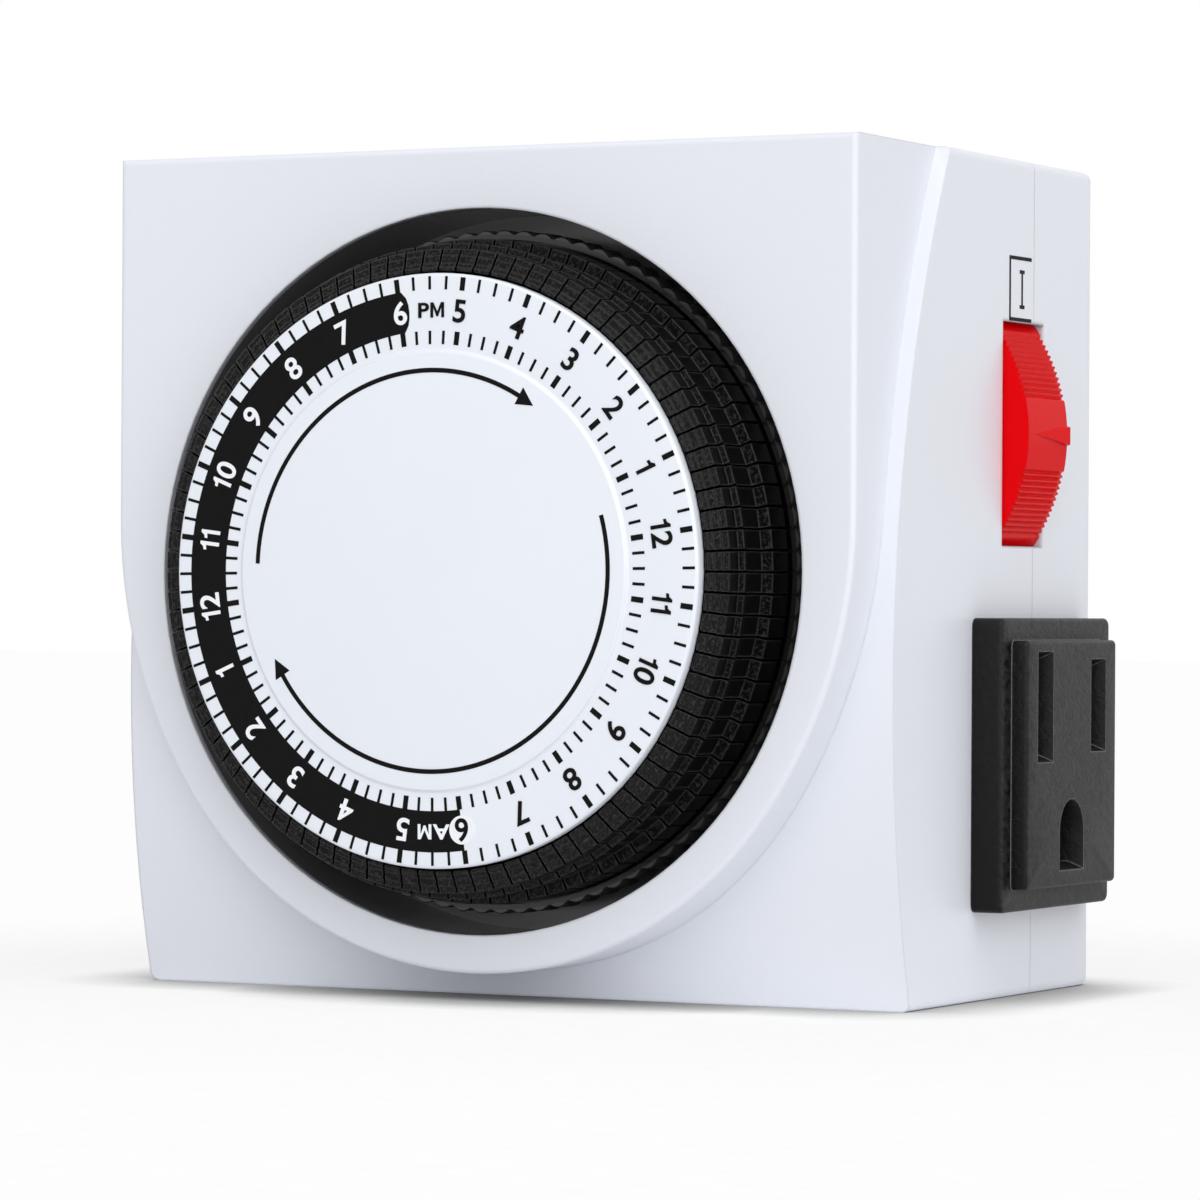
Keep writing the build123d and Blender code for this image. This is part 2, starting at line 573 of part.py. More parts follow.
def make_dial_body():
    bore = SPINDLE_R + RUN_GAP
    inner = DRUM_R - DRUM_WALL
    plate_back = DISC_BACK + DRUM_WALL
    drum_back = FLANGE_DEPTH - BITE
    body = turned([(DRUM_HOLE_R, DISC_BACK), (DRUM_R, DISC_BACK), (DRUM_R, drum_back), (inner, drum_back),
                   (inner, plate_back), (DRUM_HOLE_R, plate_back)])
    tube_start = SPINDLE_END + CLIP_SET + CLIP_T + CLIP_GAP
    tube = rod(0, DIAL_Z, SPIGOT_R, tube_start, FLANGE_BACK, bore)
    hub = rod(0, DIAL_Z, HUB_R, FLANGE_BACK - BITE, DIAL_GEAR_DEPTH, bore)
    spigot = rod(0, DIAL_Z, SPIGOT_R, DIAL_GEAR_DEPTH - BITE, DIAL_GEAR_DEPTH + DIAL_GEAR_T, bore)
    spoke = Pos((SPIGOT_R + inner) / 2, 0) * Rectangle(inner - SPIGOT_R + 2 * BITE, SPOKE_T)
    web = slab(round_the_dial(spoke, SPOKES), plate_back - BITE, FLANGE_DEPTH)
    slot = Rectangle(STEM_DEEP + 2 * STEM_GAP, STEM_W + 2 * STEM_GAP)
    slots = round_the_dial(Pos((STEM_IN_R + STEM_OUT_R) / 2, 0) * slot, SEG_COUNT, 0.5)
    flange = Pos(0, DIAL_Z) * (Circle(SKIRT_R) - Circle(bore)) - slots
    floor = slab(flange, FLANGE_DEPTH - BITE, FLANGE_BACK)
    skirt = rod(0, DIAL_Z, SKIRT_R, SEG_BACK + SKIRT_SET, FLANGE_DEPTH, SKIRT_R - SKIRT_T)
    body = body + floor + skirt + web + tube + hub + spigot
    mouth = SKIRT_R + RIB_DEEP
    notch = Polygon((SKIRT_R - RIB_DEEP, 0), (mouth, RIB_GROOVE / 2), (mouth, -RIB_GROOVE / 2), align=None)
    grooves = slab(round_the_dial(notch, SEG_COUNT), SEG_BACK, FLANGE_BACK + BITE)
    return body - grooves


def segment_solid():
    """One push segment on the +X side of the dial: stepped nose, waist, outer block and stem."""
    steps = [(SEG_IN_R + out, DISC_FRONT + down) for out, down in SEG_STEPS]
    neck_r, neck_top = SEG_IN_R + SEG_NECK, DISC_FRONT + SEG_NECK_DOWN
    points = [(SEG_IN_R, steps[0][1])]
    for (r, d), (_, lower) in zip(steps, steps[1:]):
        points += [(r, d), (r, lower)]
    points += [steps[-1], (steps[-1][0], neck_top - SEG_NECK_SLANT), (neck_r, neck_top),
               (neck_r, SEG_BLOCK_TOP), (SEG_OUT_R, SEG_BLOCK_TOP), (SEG_OUT_R, SEG_BACK), (SEG_IN_R, SEG_BACK)]
    outline = make_face(Polyline(*[(r, at(d)) for r, d in points], close=True))
    far = SEG_OUT_R + PAST
    half = far * tan(pi / SEG_COUNT - SEG_GAP / SEG_OUT_R / 2)
    sector = make_face(Polyline((0, 0), (far, -half), (far, half), close=True))
    nose = extrude(outline, amount=half, both=True) & slab(sector, DISC_FRONT, SEG_BACK + PAST)
    stem_start = SEG_BACK - 2 * BITE
    stem = Pos((STEM_IN_R + STEM_OUT_R) / 2, at((stem_start + STEM_END) / 2), 0) * Box(
        STEM_DEEP, STEM_END - stem_start, STEM_W)
    return nose + stem


def make_segments():
    """24 groups of four segments, one group for each hour."""
    single = segment_solid()
    groups = {}
    for hour in range(HOURS):
        turns = [(hour * PER_HOUR + quarter + 0.5) * 360 / SEG_COUNT for quarter in range(PER_HOUR)]
        groups[f"segments_{hour:02d}"] = [Pos(0, 0, DIAL_Z) * Rot(0, -turn, 0) * single for turn in turns]
    return groups


# ---- gear train ----------------------------------------------------------------------------
def gear_face(teeth, hole, turn=0.0):
    """Spur gear outline with straight-flanked teeth and backlash; turn aims a tooth."""
    pitch_r = MODULE * teeth / 2
    root, tip = pitch_r - DEDENDUM * MODULE, pitch_r + ADDENDUM * MODULE
    step = 360 / teeth
    root_half = step * ROOT_SHARE / 2
    tip_half = degrees(TIP_SHARE * MODULE * pi / 2 / tip)
    points = []
    for i in range(teeth):
        for r, a in ((root, -root_half), (tip, -tip_half), (tip, tip_half), (root, root_half)):
            angle = radians(turn + i * step + a)
            points.append((r * cos(angle), r * sin(angle)))
    return make_face(Polyline(*points, close=True)) - Circle(hole)


def make_dial_gear():
    gear = gear_face(DIAL_TEETH, SPIGOT_R, idler_angle())
    return slab(Pos(0, DIAL_Z) * gear, DIAL_GEAR_DEPTH, DIAL_GEAR_DEPTH + DIAL_GEAR_T)


def make_idler():
    """Pinion driven on the dial gear's side, and the wheel that the motor drives."""
    place = Pos(*idler_place())
    bore = IDLER_SHAFT_R + RUN_GAP
    gap_to_dial = idler_angle() + 180 + 180 / PINION_TEETH
    pinion = slab(place * gear_face(PINION_TEETH, bore, gap_to_dial), DIAL_GEAR_DEPTH - PINION_EXTRA,
                  IDLER_GEAR_DEPTH)
    wheel = slab(place * gear_face(IDLER_TEETH, bore), IDLER_GEAR_DEPTH, IDLER_GEAR_DEPTH + IDLER_GEAR_T)
    return pinion + wheel


def make_motor_pinion():
    x, z = motor_place()
    gear = gear_face(PINION_TEETH, MOTOR_SHAFT_R, 180 + 180 / PINION_TEETH)
    pinion = slab(Pos(x, z) * gear, IDLER_GEAR_DEPTH, IDLER_GEAR_DEPTH + IDLER_GEAR_T)
    return pinion + rod(x, z, MOTOR_SHAFT_R, IDLER_GEAR_DEPTH, PLATE_BACK - BITE)


def make_motor():
    x, z = motor_place()
    back = PLATE_BACK + MOTOR_L
    can = rod(x, z, MOTOR_R, PLATE_BACK, back)
    can = fillet(can.faces().sort_by(Axis.Y)[-1].edges(), MOTOR_EDGE_R)
    return can + block(x - MOTOR_TAB_W / 2, x + MOTOR_TAB_W / 2, PLATE_BACK, back - MOTOR_TAB_SHORT,
                       z - MOTOR_R - MOTOR_TAB_OUT, z)


def clip_ring(outer_r):
    """Flat ring at the spindle's groove, out to the given radius."""
    start = SPINDLE_END + CLIP_SET
    return rod(0, DIAL_Z, outer_r, start, start + CLIP_T, SPINDLE_R - CLIP_BITE)


def make_spindle():
    shaft = rod(0, DIAL_Z, SPINDLE_R, SPINDLE_END, PLATE_BACK) - clip_ring(SPINDLE_R + PAST)
    return shaft + rod(0, DIAL_Z, SPINDLE_HEAD_R, PLATE_BACK, PLATE_BACK + SPINDLE_HEAD)


def make_dial_clip():
    half = CLIP_MOUTH / 2
    return clip_ring(CLIP_R) - block(-half, half, SPINDLE_END, PLATE_BACK, DIAL_Z, DIAL_Z + CLIP_R + PAST)


def make_friction_washer():
    start = DIAL_GEAR_DEPTH + DIAL_GEAR_T + WASHER_GAP
    return rod(0, DIAL_Z, SPIGOT_R - WASHER_SET, start, start + WASHER_T, SPINDLE_R)


def make_idler_shaft():
    return rod(*idler_place(), IDLER_SHAFT_R, WELL_FLOOR + SOCKET_FLOOR, PLATE_BACK)


# ---- follower and switch contacts ----------------------------------------------------------
def lug_heights():
    """Height ranges of the two lugs that hold the follower's pin."""
    inner = FOLLOWER_H / 2 + LUG_GAP
    z = nose_z()
    return (z - inner - LUG_T, z - inner), (z + inner, z + inner + LUG_T)


def follower_pivot():
    return Pos(FOLLOWER_X, at(FOLLOWER_DEPTH), nose_z())


def follower_pin_solid():
    return follower_pivot() * Cylinder(FOLLOWER_PIN_R, FOLLOWER_H + 2 * (LUG_GAP + LUG_T))


def make_follower():
    """Lever in the place where a pressed segment holds its nose back and the contacts are closed."""
    z, half = nose_z(), FOLLOWER_H / 2
    front, back = FOLLOWER_DEPTH - FOLLOWER_T / 2, FOLLOWER_DEPTH + FOLLOWER_T / 2
    lever = block(-NOSE_W / 2, FOLLOWER_X + FOLLOWER_TAIL, front, back, z - half, z + half)
    lever += block(-NOSE_W / 2, NOSE_W / 2, NOSE_DEPTH, back, z - NOSE_H / 2, z + NOSE_H / 2)
    hub_h = FOLLOWER_H + 2 * (LUG_GAP - HUB_CLEAR)
    lever += follower_pivot() * Cylinder(FOLLOWER_HUB_R, hub_h)
    return lever - follower_pivot() * Cylinder(FOLLOWER_PIN_R + RUN_GAP, hub_h + PAST)


def make_moving_contact():
    z, half = nose_z(), FOLLOWER_H / 2 - CONTACT_SET
    face = FOLLOWER_DEPTH - FOLLOWER_T / 2
    leaf = block(FOLLOWER_X + FOLLOWER_HUB_R, FOLLOWER_X + FOLLOWER_TAIL, face - LEAF_T, face, z - half, z + half)
    return leaf + rod(CONTACT_X, z, CONTACT_R, face - LEAF_T - RIVET_OUT, face - LEAF_T)


def make_fixed_contact():
    z, half = nose_z(), FOLLOWER_H / 2 - CONTACT_SET
    strip = block(CONTACT_X - 2 * CONTACT_R, OUTLET_INNER_X + WELL_WALL, WELL_BACK, WELL_BACK + LEAF_T,
                  z - half, z + half)
    rivet_end = FOLLOWER_DEPTH - FOLLOWER_T / 2 - LEAF_T - RIVET_OUT - CONTACT_GAP
    return strip + rod(CONTACT_X, z, CONTACT_R, WELL_BACK + LEAF_T / 2, rivet_end)


# ---- override selector ---------------------------------------------------------------------
def rim_sector(half_angle):
    """Ring sector in X and Z about the selector's axis, opening towards +X."""
    a = radians(half_angle)
    outer, inner = SELECTOR_R, SELECTOR_R - SELECTOR_RIM

    def p(r, t):
        return (r * cos(t), r * sin(t))

    outline = ThreePointArc(p(outer, -a), p(outer, 0), p(outer, a)) + Line(p(outer, a), p(inner, a))
    outline += ThreePointArc(p(inner, a), p(inner, 0), p(inner, -a)) + Line(p(inner, -a), p(outer, -a))
    return Pos(SELECTOR_X, SELECTOR_Z) * make_face(outline)


def thumb_grooves(half_angle):
    """Grooves across the thumb surface above and below its smooth middle."""
    groove = Pos(SELECTOR_R, 0) * Rot(0, 0, 45) * Rectangle(THUMB_GROOVE, THUMB_GROOVE)
    pitch, smooth = degrees(THUMB_PITCH / SELECTOR_R), degrees(THUMB_SMOOTH / SELECTOR_R)
    turns = [smooth + (i + 0.5) * pitch for i in range(int((half_angle - smooth) / pitch))]
    axis = Pos(SELECTOR_X, SELECTOR_Z)
    return [axis * Rot(0, 0, side * turn) * groove for turn in turns for side in (-1, 1)]


def make_selector():
    reach = degrees(acos((SELECTOR_R - SELECTOR_RISE) / SELECTOR_R))
    half_angle = reach + SELECTOR_TURN + SELECTOR_SPARE
    front, back = SELECTOR_DEPTH - SELECTOR_W / 2, SELECTOR_DEPTH + SELECTOR_W / 2
    drum = slab(rim_sector(half_angle), front, back)
    drum -= slab(thumb_grooves(half_angle), front - BITE, back + BITE)
    half = SELECTOR_SPOKE / 2
    spoke = block(SELECTOR_X, SELECTOR_X + SELECTOR_R - SELECTOR_RIM + BITE, SELECTOR_DEPTH - half,
                  SELECTOR_DEPTH + half, SELECTOR_Z - half, SELECTOR_Z + half)
    hub = rod(SELECTOR_X, SELECTOR_Z, SELECTOR_HUB_R, front, back)
    vertex, wide = front + POINTER_START, back - POINTER_END
    wedge = Polygon((vertex, 0), (wide, POINTER_W / 2), (wide, -POINTER_W / 2), align=None)
    foot = SELECTOR_X + SELECTOR_R - 2 * BITE
    thumb_plane = Plane(origin=(foot, FACE_Y, SELECTOR_Z), x_dir=(0, 1, 0), z_dir=(1, 0, 0))
    pointer = extrude(thumb_plane * wedge, amount=POINTER_RISE + 2 * BITE)
    solid = drum + spoke + hub + pointer
    return solid - rod(SELECTOR_X, SELECTOR_Z, SELECTOR_PIN_R + RUN_GAP, front - PAST, back + PAST)


def make_selector_pin():
    reach = SELECTOR_W / 2 + SELECTOR_GAP + BRACKET_T
    return rod(SELECTOR_X, SELECTOR_Z, SELECTOR_PIN_R, SELECTOR_DEPTH - reach, SELECTOR_DEPTH + reach)


# ---- outlets -------------------------------------------------------------------------------
def outlet_box(x0, x1, d_size, z_size, shift=0.0, z=OUTLET_Z):
    """Box on the right outlet, centred at a shift along the depth and a height."""
    d = OUTLET_DEPTH + shift
    return block(x0, x1, d - d_size / 2, d + d_size / 2, z - z_size / 2, z + z_size / 2)


def side_plane(x, shift, z):
    """Sketch plane on the right side: local x is the depth, local y is the height."""
    return Plane(origin=(x, at(OUTLET_DEPTH + shift), z), x_dir=(0, 1, 0), z_dir=(1, 0, 0))


def ground_hole_face():
    """Round top, flat bottom."""
    w, h = GROUND_W / 2, GROUND_H / 2
    shoulder = h - w
    outline = Polyline((-w, shoulder), (-w, -h), (w, -h), (w, shoulder))
    outline += ThreePointArc((w, shoulder), (0, h), (-w, shoulder))
    return make_face(outline)


def raised_block(x0, x1, d_size, z_size):
    """Block with rounded edges round its outward face."""
    form = outlet_box(x0, x1, d_size, z_size)
    return fillet(form.faces().sort_by(Axis.X)[-1].edges(), OUTLET_EDGE_R)


def make_outlet_right():
    half = BODY_W / 2
    base_x = half + OUTLET_RISE
    face_x = base_x + FACE_RISE
    start = OUTLET_INNER_X - PAST
    outlet = raised_block(half, base_x, OUTLET_D, OUTLET_H)
    outlet += raised_block(half - WALL - SEAT, face_x, FACE_D, FACE_H)
    outlet += outlet_box(OUTLET_INNER_X, half - WALL, FACE_D + SEAT_EXTRA, FACE_H)
    for shift, length in ((-BLADE_PITCH / 2, NEUTRAL_SLOT), (BLADE_PITCH / 2, LINE_SLOT)):
        outlet -= outlet_box(start, face_x + PAST, SLOT_W, length, shift, SLOT_Z)
        outlet -= outlet_box(start, face_x - SLOT_SKIN, SLOT_W + CHAMBER_W, length + CHAMBER_H, shift, SLOT_Z)
        inner = side_plane(face_x - BEVEL_DEEP, shift, SLOT_Z) * Rectangle(SLOT_W, length)
        mouth = side_plane(face_x, shift, SLOT_Z) * Rectangle(SLOT_W + 2 * BEVEL, length + 2 * BEVEL)
        outlet -= loft([inner, mouth])
    outlet -= extrude(side_plane(start, 0, GROUND_Z) * ground_hole_face(), amount=face_x - start + PAST)
    return outlet - outlet_box(start, face_x - GROUND_SKIN, GROUND_W + GROUND_CHAMBER, GROUND_H, 0, GROUND_Z)


def make_contacts_right():
    """Three spring clips: neutral, line and ground."""
    clips = []
    x0, x1 = OUTLET_INNER_X, BODY_W / 2 + OUTLET_RISE + FACE_RISE - SLOT_SKIN - CLIP_SHORT
    gap = BLADE_T / 2 + CLIP_PLAY
    for shift, width in ((-BLADE_PITCH / 2, NEUTRAL_CLIP), (BLADE_PITCH / 2, LINE_CLIP)):
        clip = outlet_box(x0, x1, 2 * (gap + CLIP_LEAF), width, shift, SLOT_Z)
        clips.append(clip - outlet_box(x0 + CLIP_LEAF, x1 + PAST, 2 * gap, width + PAST, shift, SLOT_Z))
    bore = 2 * (PIN_R + PIN_PLAY)
    height = GROUND_H - GROUND_CLIP_SHORT
    fork = outlet_box(x0, x0 + GROUND_CLIP_L, bore + 2 * CLIP_LEAF, height, 0, GROUND_Z)
    clips.append(fork - outlet_box(x0 + CLIP_LEAF, x0 + GROUND_CLIP_L + PAST, bore, height + PAST, 0, GROUND_Z))
    return clips


def turn_round(solid):
    """The left side's copy: the same piece turned half round about an upright axis."""
    centre = at(OUTLET_DEPTH)
    return Pos(0, centre, 0) * Rot(0, 0, 180) * Pos(0, -centre, 0) * solid


# ---- plug and bus bars ---------------------------------------------------------------------
def make_blade(side, bus):
    tip = BODY_D + BLADE_OUT
    blade = blade_block(side, bus + BUS_T, tip)
    blade = chamfer(blade.faces().sort_by(Axis.Y)[-1].edges().filter_by(Axis.X), BLADE_TIP)
    hole = Pos(side * BLADE_PITCH / 2, at(tip - BLADE_HOLE_SET), PLUG_Z) * Rot(0, 90, 0)
    return blade - hole * Cylinder(BLADE_HOLE_R, 2 * BLADE_T)


def make_ground_pin():
    z = PLUG_Z - GROUND_DROP
    wall = BODY_D - WALL
    pin = rod(0, z, PIN_R, BODY_D, BODY_D + PIN_OUT)
    pin = fillet(pin.faces().sort_by(Axis.Y)[-1].edges(), PIN_TIP)
    pin += rod(0, z, PIN_NECK_R, wall, BODY_D)
    pin += rod(0, z, PIN_COLLAR_R, wall - PIN_COLLAR_T, wall)
    return pin + rod(0, z, PIN_TAIL_R, GROUND_BUS + BUS_T, wall - PIN_COLLAR_T)


def make_plug_insulator():
    z = PLUG_Z - GROUND_DROP
    d0, d1 = BODY_D - WALL - INSULATOR_T, BODY_D - WALL
    body = block(-INSULATOR_W / 2, INSULATOR_W / 2, d0, d1, z - INSULATOR_FOOT,
                 PLUG_Z + BLADE_H / 2 + INSULATOR_EDGE)
    for side in (-1, 1):
        body -= blade_block(side, d0 - PAST, d1 + PAST)
    body -= rod(0, z, PIN_COLLAR_R, d1 - PIN_COLLAR_T, d1 + PAST)
    return body - rod(0, z, PIN_TAIL_R, d0 - PAST, d1 + PAST)


def bus_bar(depth, z0, z1, tab_x, tab_z, right_depth, left_depth):
    """Flat bar between the outlets, with a tab to the plug and an arm to each outlet's contact."""
    back = depth + BUS_T
    bar = block(-OUTLET_INNER_X, OUTLET_INNER_X, depth, back, z0, z1)
    bar += block(tab_x - BUS_TAB_W / 2, tab_x + BUS_TAB_W / 2, depth, back, z0, tab_z)
    for side, target in ((1, right_depth), (-1, left_depth)):
        x0, x1 = sorted((side * BUS_ARM_X, side * OUTLET_INNER_X))
        near, far = min(target - BUS_ARM_END, depth), max(target + BUS_ARM_END, back)
        bar += block(x0, x1, near, far, z0, z1)
    return bar


def make_neutral_bus():
    near, far = OUTLET_DEPTH - BLADE_PITCH / 2, OUTLET_DEPTH + BLADE_PITCH / 2
    middle = SLOT_Z + BUS_OFFSET
    return bus_bar(NEUTRAL_BUS, middle - BUS_H / 2, middle + BUS_H / 2, BLADE_PITCH / 2, PLUG_Z + BUS_TAB_END,
                   near, far)


def make_line_bus():
    near, far = OUTLET_DEPTH - BLADE_PITCH / 2, OUTLET_DEPTH + BLADE_PITCH / 2
    middle = SLOT_Z - BUS_OFFSET
    return bus_bar(LINE_BUS, middle - BUS_H / 2, middle + BUS_H / 2, -BLADE_PITCH / 2, PLUG_Z + BUS_TAB_END,
                   far, near)


def make_ground_strap():
    return bus_bar(GROUND_BUS, GROUND_Z - BUS_H / 2, GROUND_Z + BUS_H / 2, 0, PLUG_Z - GROUND_DROP + BUS_TAB_W / 2,
                   OUTLET_DEPTH, OUTLET_DEPTH)


# ---- all pieces ----------------------------------------------------------------------------
def build():
    outer = outer_form()
    outlet = make_outlet_right()
    contacts = make_contacts_right()
    parts = {
        "front_housing": make_front_housing(outer),
        "rear_cover": make_rear_cover(outer),
        "housing_screws": make_housing_screws(),
        "dial_well": make_dial_well(),
        "dial_face": make_dial_face(),
        "dial_body": make_dial_body(),
        "dial_gear": make_dial_gear(),
        "dial_spindle": make_spindle(),
        "dial_clip": make_dial_clip(),
        "friction_washer": make_friction_washer(),
        "movement_plate": make_movement_plate(),
        "plate_screws": make_plate_screws(),
        "idler_gear": make_idler(),
        "idler_shaft": make_idler_shaft(),
        "motor_pinion": make_motor_pinion(),
        "motor_can": make_motor(),
        "follower_lever": make_follower(),
        "follower_pin": follower_pin_solid(),
        "moving_contact": make_moving_contact(),
        "fixed_contact": make_fixed_contact(),
        "override_selector": make_selector(),
        "selector_pin": make_selector_pin(),
        "outlet_right": outlet,
        "outlet_left": turn_round(outlet),
        "contacts_right": contacts,
        "contacts_left": [turn_round(c) for c in contacts],
        "neutral_bus": make_neutral_bus(),
        "line_bus": make_line_bus(),
        "ground_strap": make_ground_strap(),
        "neutral_blade": make_blade(1, NEUTRAL_BUS),
        "line_blade": make_blade(-1, LINE_BUS),
        "ground_pin": make_ground_pin(),
        "plug_insulator": make_plug_insulator(),
    }
    parts.update(make_segments())
    return parts


if __name__ == "__main__":
    os.makedirs("parts", exist_ok=True)
    for name, shape in build().items():
        solids = shape if isinstance(shape, list) else [shape]
        piece = Compound(children=[s for item in solids for s in item.solids()])
        export_step(piece, f"parts/{name}.step")
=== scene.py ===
"""Plug-in 24 hour timer switch: finishes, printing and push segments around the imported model."""
import json
import math

import bmesh
import bpy
from mathutils import Matrix, Vector


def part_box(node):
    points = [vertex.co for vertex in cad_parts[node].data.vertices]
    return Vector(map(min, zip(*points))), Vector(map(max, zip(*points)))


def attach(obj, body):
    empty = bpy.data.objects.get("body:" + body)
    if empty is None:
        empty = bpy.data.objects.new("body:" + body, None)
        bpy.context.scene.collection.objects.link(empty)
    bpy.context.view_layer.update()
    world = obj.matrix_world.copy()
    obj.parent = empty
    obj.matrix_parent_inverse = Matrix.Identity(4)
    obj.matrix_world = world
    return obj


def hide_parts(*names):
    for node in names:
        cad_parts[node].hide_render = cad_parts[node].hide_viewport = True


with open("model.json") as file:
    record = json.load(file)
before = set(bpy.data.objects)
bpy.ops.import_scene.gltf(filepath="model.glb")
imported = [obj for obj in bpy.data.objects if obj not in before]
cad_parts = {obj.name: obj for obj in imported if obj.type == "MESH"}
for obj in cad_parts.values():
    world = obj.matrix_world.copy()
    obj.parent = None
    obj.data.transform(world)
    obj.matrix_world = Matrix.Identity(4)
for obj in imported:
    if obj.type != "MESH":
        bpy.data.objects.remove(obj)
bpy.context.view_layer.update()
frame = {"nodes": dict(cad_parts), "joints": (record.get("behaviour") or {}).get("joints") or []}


# ---- housing shells ----------------------------------------------------------
# The front housing and the rear cover are two injection-moulded shells of white ABS. Their mould
# is lightly spark-eroded, so broad faces are satin with a very fine grain. The edges are rounded,
# which catches light along them and shows the seam.
HOUSING_WHITE = "#E5E8F0"
HOUSING_WHITE_HIGH = "#E7EAF2"
HOUSING_GRIT_MM = 0.35
HOUSING_FLOW_MM = 22.0
HOUSING_EDGE_MM = 0.4


def linear(hex_colour):
    """An sRGB hex colour as the linear RGBA that shaders take."""
    channels = [int(hex_colour[i:i + 2], 16) / 255 for i in (1, 3, 5)]
    return [c / 12.92 if c <= 0.04045 else ((c + 0.055) / 1.055) ** 2.4 for c in channels] + [1.0]


def metres(mm):
    return mm / 1000


def per_metre(mm):
    """Texture scale for a pattern that repeats at a size in millimetres."""
    return 1000 / mm


def add(tree, kind, inputs=None, **settings):
    """Adds a node. An input given as a socket is linked, any other value is set on the socket."""
    node = tree.nodes.new(kind)
    for name, value in settings.items():
        setattr(node, name, value)
    for name, value in (inputs or {}).items():
        if isinstance(value, bpy.types.NodeSocket):
            tree.links.new(value, node.inputs[name])
        else:
            node.inputs[name].default_value = value
    return node


def new_material(name):
    """Material with one Principled shader; returns the material, its tree and the shader."""
    material = bpy.data.materials.new(name)
    material.use_nodes = True
    tree = material.node_tree
    return material, tree, tree.nodes["Principled BSDF"]


def blend(tree, factor, *colours):
    """Goes from one colour to another. Each is a hex tone or the output of another node."""
    mix = add(tree, "ShaderNodeMix", {"Factor": factor}, data_type="RGBA")
    for side, colour in zip("AB", colours):
        if isinstance(colour, str):
            mix.inputs[side].default_value = linear(colour)
        else:
            tree.links.new(colour, mix.inputs[side])
    return mix.outputs["Result"]


def two_tones(tree, shader, factor, *colours):
    tree.links.new(blend(tree, factor, *colours), shader.inputs["Base Color"])


def roughness_between(tree, shader, factor, smoothest, roughest):
    gloss = add(tree, "ShaderNodeMapRange", {"Value": factor, "To Min": smoothest, "To Max": roughest})
    tree.links.new(gloss.outputs["Result"], shader.inputs["Roughness"])


def finish_nodes(material, *names):
    """Gives CAD nodes their material."""
    for name in names:
        finishes = frame["nodes"][name].data.materials
        finishes.clear()
        finishes.append(material)


def moulded_white_abs():
    """White ABS: satin faces with a fine grain towards the front, a little smoother everywhere else."""
    material, tree, shader = new_material("moulded_white_abs")
    place = add(tree, "ShaderNodeTexCoord").outputs["Object"]
    flow = add(tree, "ShaderNodeTexNoise", {"Vector": place, "Scale": per_metre(HOUSING_FLOW_MM), "Detail": 2.0})
    two_tones(tree, shader, flow.outputs["Fac"], HOUSING_WHITE, HOUSING_WHITE_HIGH)
    facing = add(tree, "ShaderNodeSeparateXYZ", {"Vector": add(tree, "ShaderNodeNewGeometry").outputs["Normal"]})
    front = add(tree, "ShaderNodeMapRange", {"Value": facing.outputs["Y"], "From Min": -0.45, "From Max": -0.8})
    polish = add(tree, "ShaderNodeMapRange", {"Value": flow.outputs["Fac"], "To Min": 0.30, "To Max": 0.38})
    satin = add(tree, "ShaderNodeMapRange", {"Value": flow.outputs["Fac"], "To Min": 0.34, "To Max": 0.44})
    gloss = add(tree, "ShaderNodeMix", {0: front.outputs["Result"], 2: polish.outputs["Result"],
                                        3: satin.outputs["Result"]}, data_type="FLOAT")
    tree.links.new(gloss.outputs[0], shader.inputs["Roughness"])
    grit = add(tree, "ShaderNodeTexNoise", {"Vector": place, "Scale": per_metre(HOUSING_GRIT_MM), "Detail": 3.0})
    depth = add(tree, "ShaderNodeMapRange", {"Value": front.outputs["Result"], "To Min": 0.02, "To Max": 0.22})
    soft = add(tree, "ShaderNodeBevel", {"Radius": metres(HOUSING_EDGE_MM)}, samples=6)
    bump = add(tree, "ShaderNodeBump", {"Height": grit.outputs["Fac"], "Strength": depth.outputs["Result"],
                                        "Distance": metres(0.05), "Normal": soft.outputs["Normal"]})
    tree.links.new(bump.outputs["Normal"], shader.inputs["Normal"])
    shader.inputs["IOR"].default_value = 1.53
    return material


white_abs = moulded_white_abs()


FACE_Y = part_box("front_housing")[0].y
SIDE_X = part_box("front_housing")[1].x
finish_nodes(white_abs, "front_housing", "rear_cover")


# ---- housing screws ----------------------------------------------------------
# Four zinc-plated steel screws hold the rear cover from behind, deep in their bosses. Rolled
# and plated steel is grey, with a fine turned grain across the heads.
def mottled(name, size_mm, detail, tones, gloss):
    """Material whose colour and roughness drift together between two values, at a size in millimetres."""
    material, tree, shader = new_material(name)
    place = add(tree, "ShaderNodeTexCoord").outputs["Object"]
    drift = add(tree, "ShaderNodeTexNoise", {"Vector": place, "Scale": per_metre(size_mm), "Detail": detail})
    two_tones(tree, shader, drift.outputs["Fac"], *tones)
    roughness_between(tree, shader, drift.outputs["Fac"], *gloss)
    return material, tree, shader, drift.outputs["Fac"]


def bare_metal(name, size_mm, detail, tones, gloss):
    material, _, shader, _ = mottled(name, size_mm, detail, tones, gloss)
    shader.inputs["Metallic"].default_value = 1.0
    return material


zinc = bare_metal("zinc_plated_steel", 0.6, 4.0, ("#A9ABAE", "#C4C6C9"), (0.28, 0.42))
finish_nodes(zinc, "housing_screws", "plate_screws", "dial_spindle", "dial_clip", "idler_shaft", "follower_pin",
             "selector_pin")


# ---- dial well ---------------------------------------------------------------
# The well is a black ABS cup behind the round opening, from a polished mould. Its colour is painted
# mid grey, a painted reflection of the room on the glossy black.
def polished_black_abs(name, tones):
    """Black ABS from a polished mould; tones are its darker and lighter colour."""
    material, tree, shader, wave = mottled(name, 14.0, 1.0, tones, (0.14, 0.24))
    sink = add(tree, "ShaderNodeBump", {"Height": wave, "Strength": 0.15, "Distance": metres(0.3)})
    tree.links.new(sink.outputs["Normal"], shader.inputs["Normal"])
    shader.inputs["IOR"].default_value = 1.54
    return material


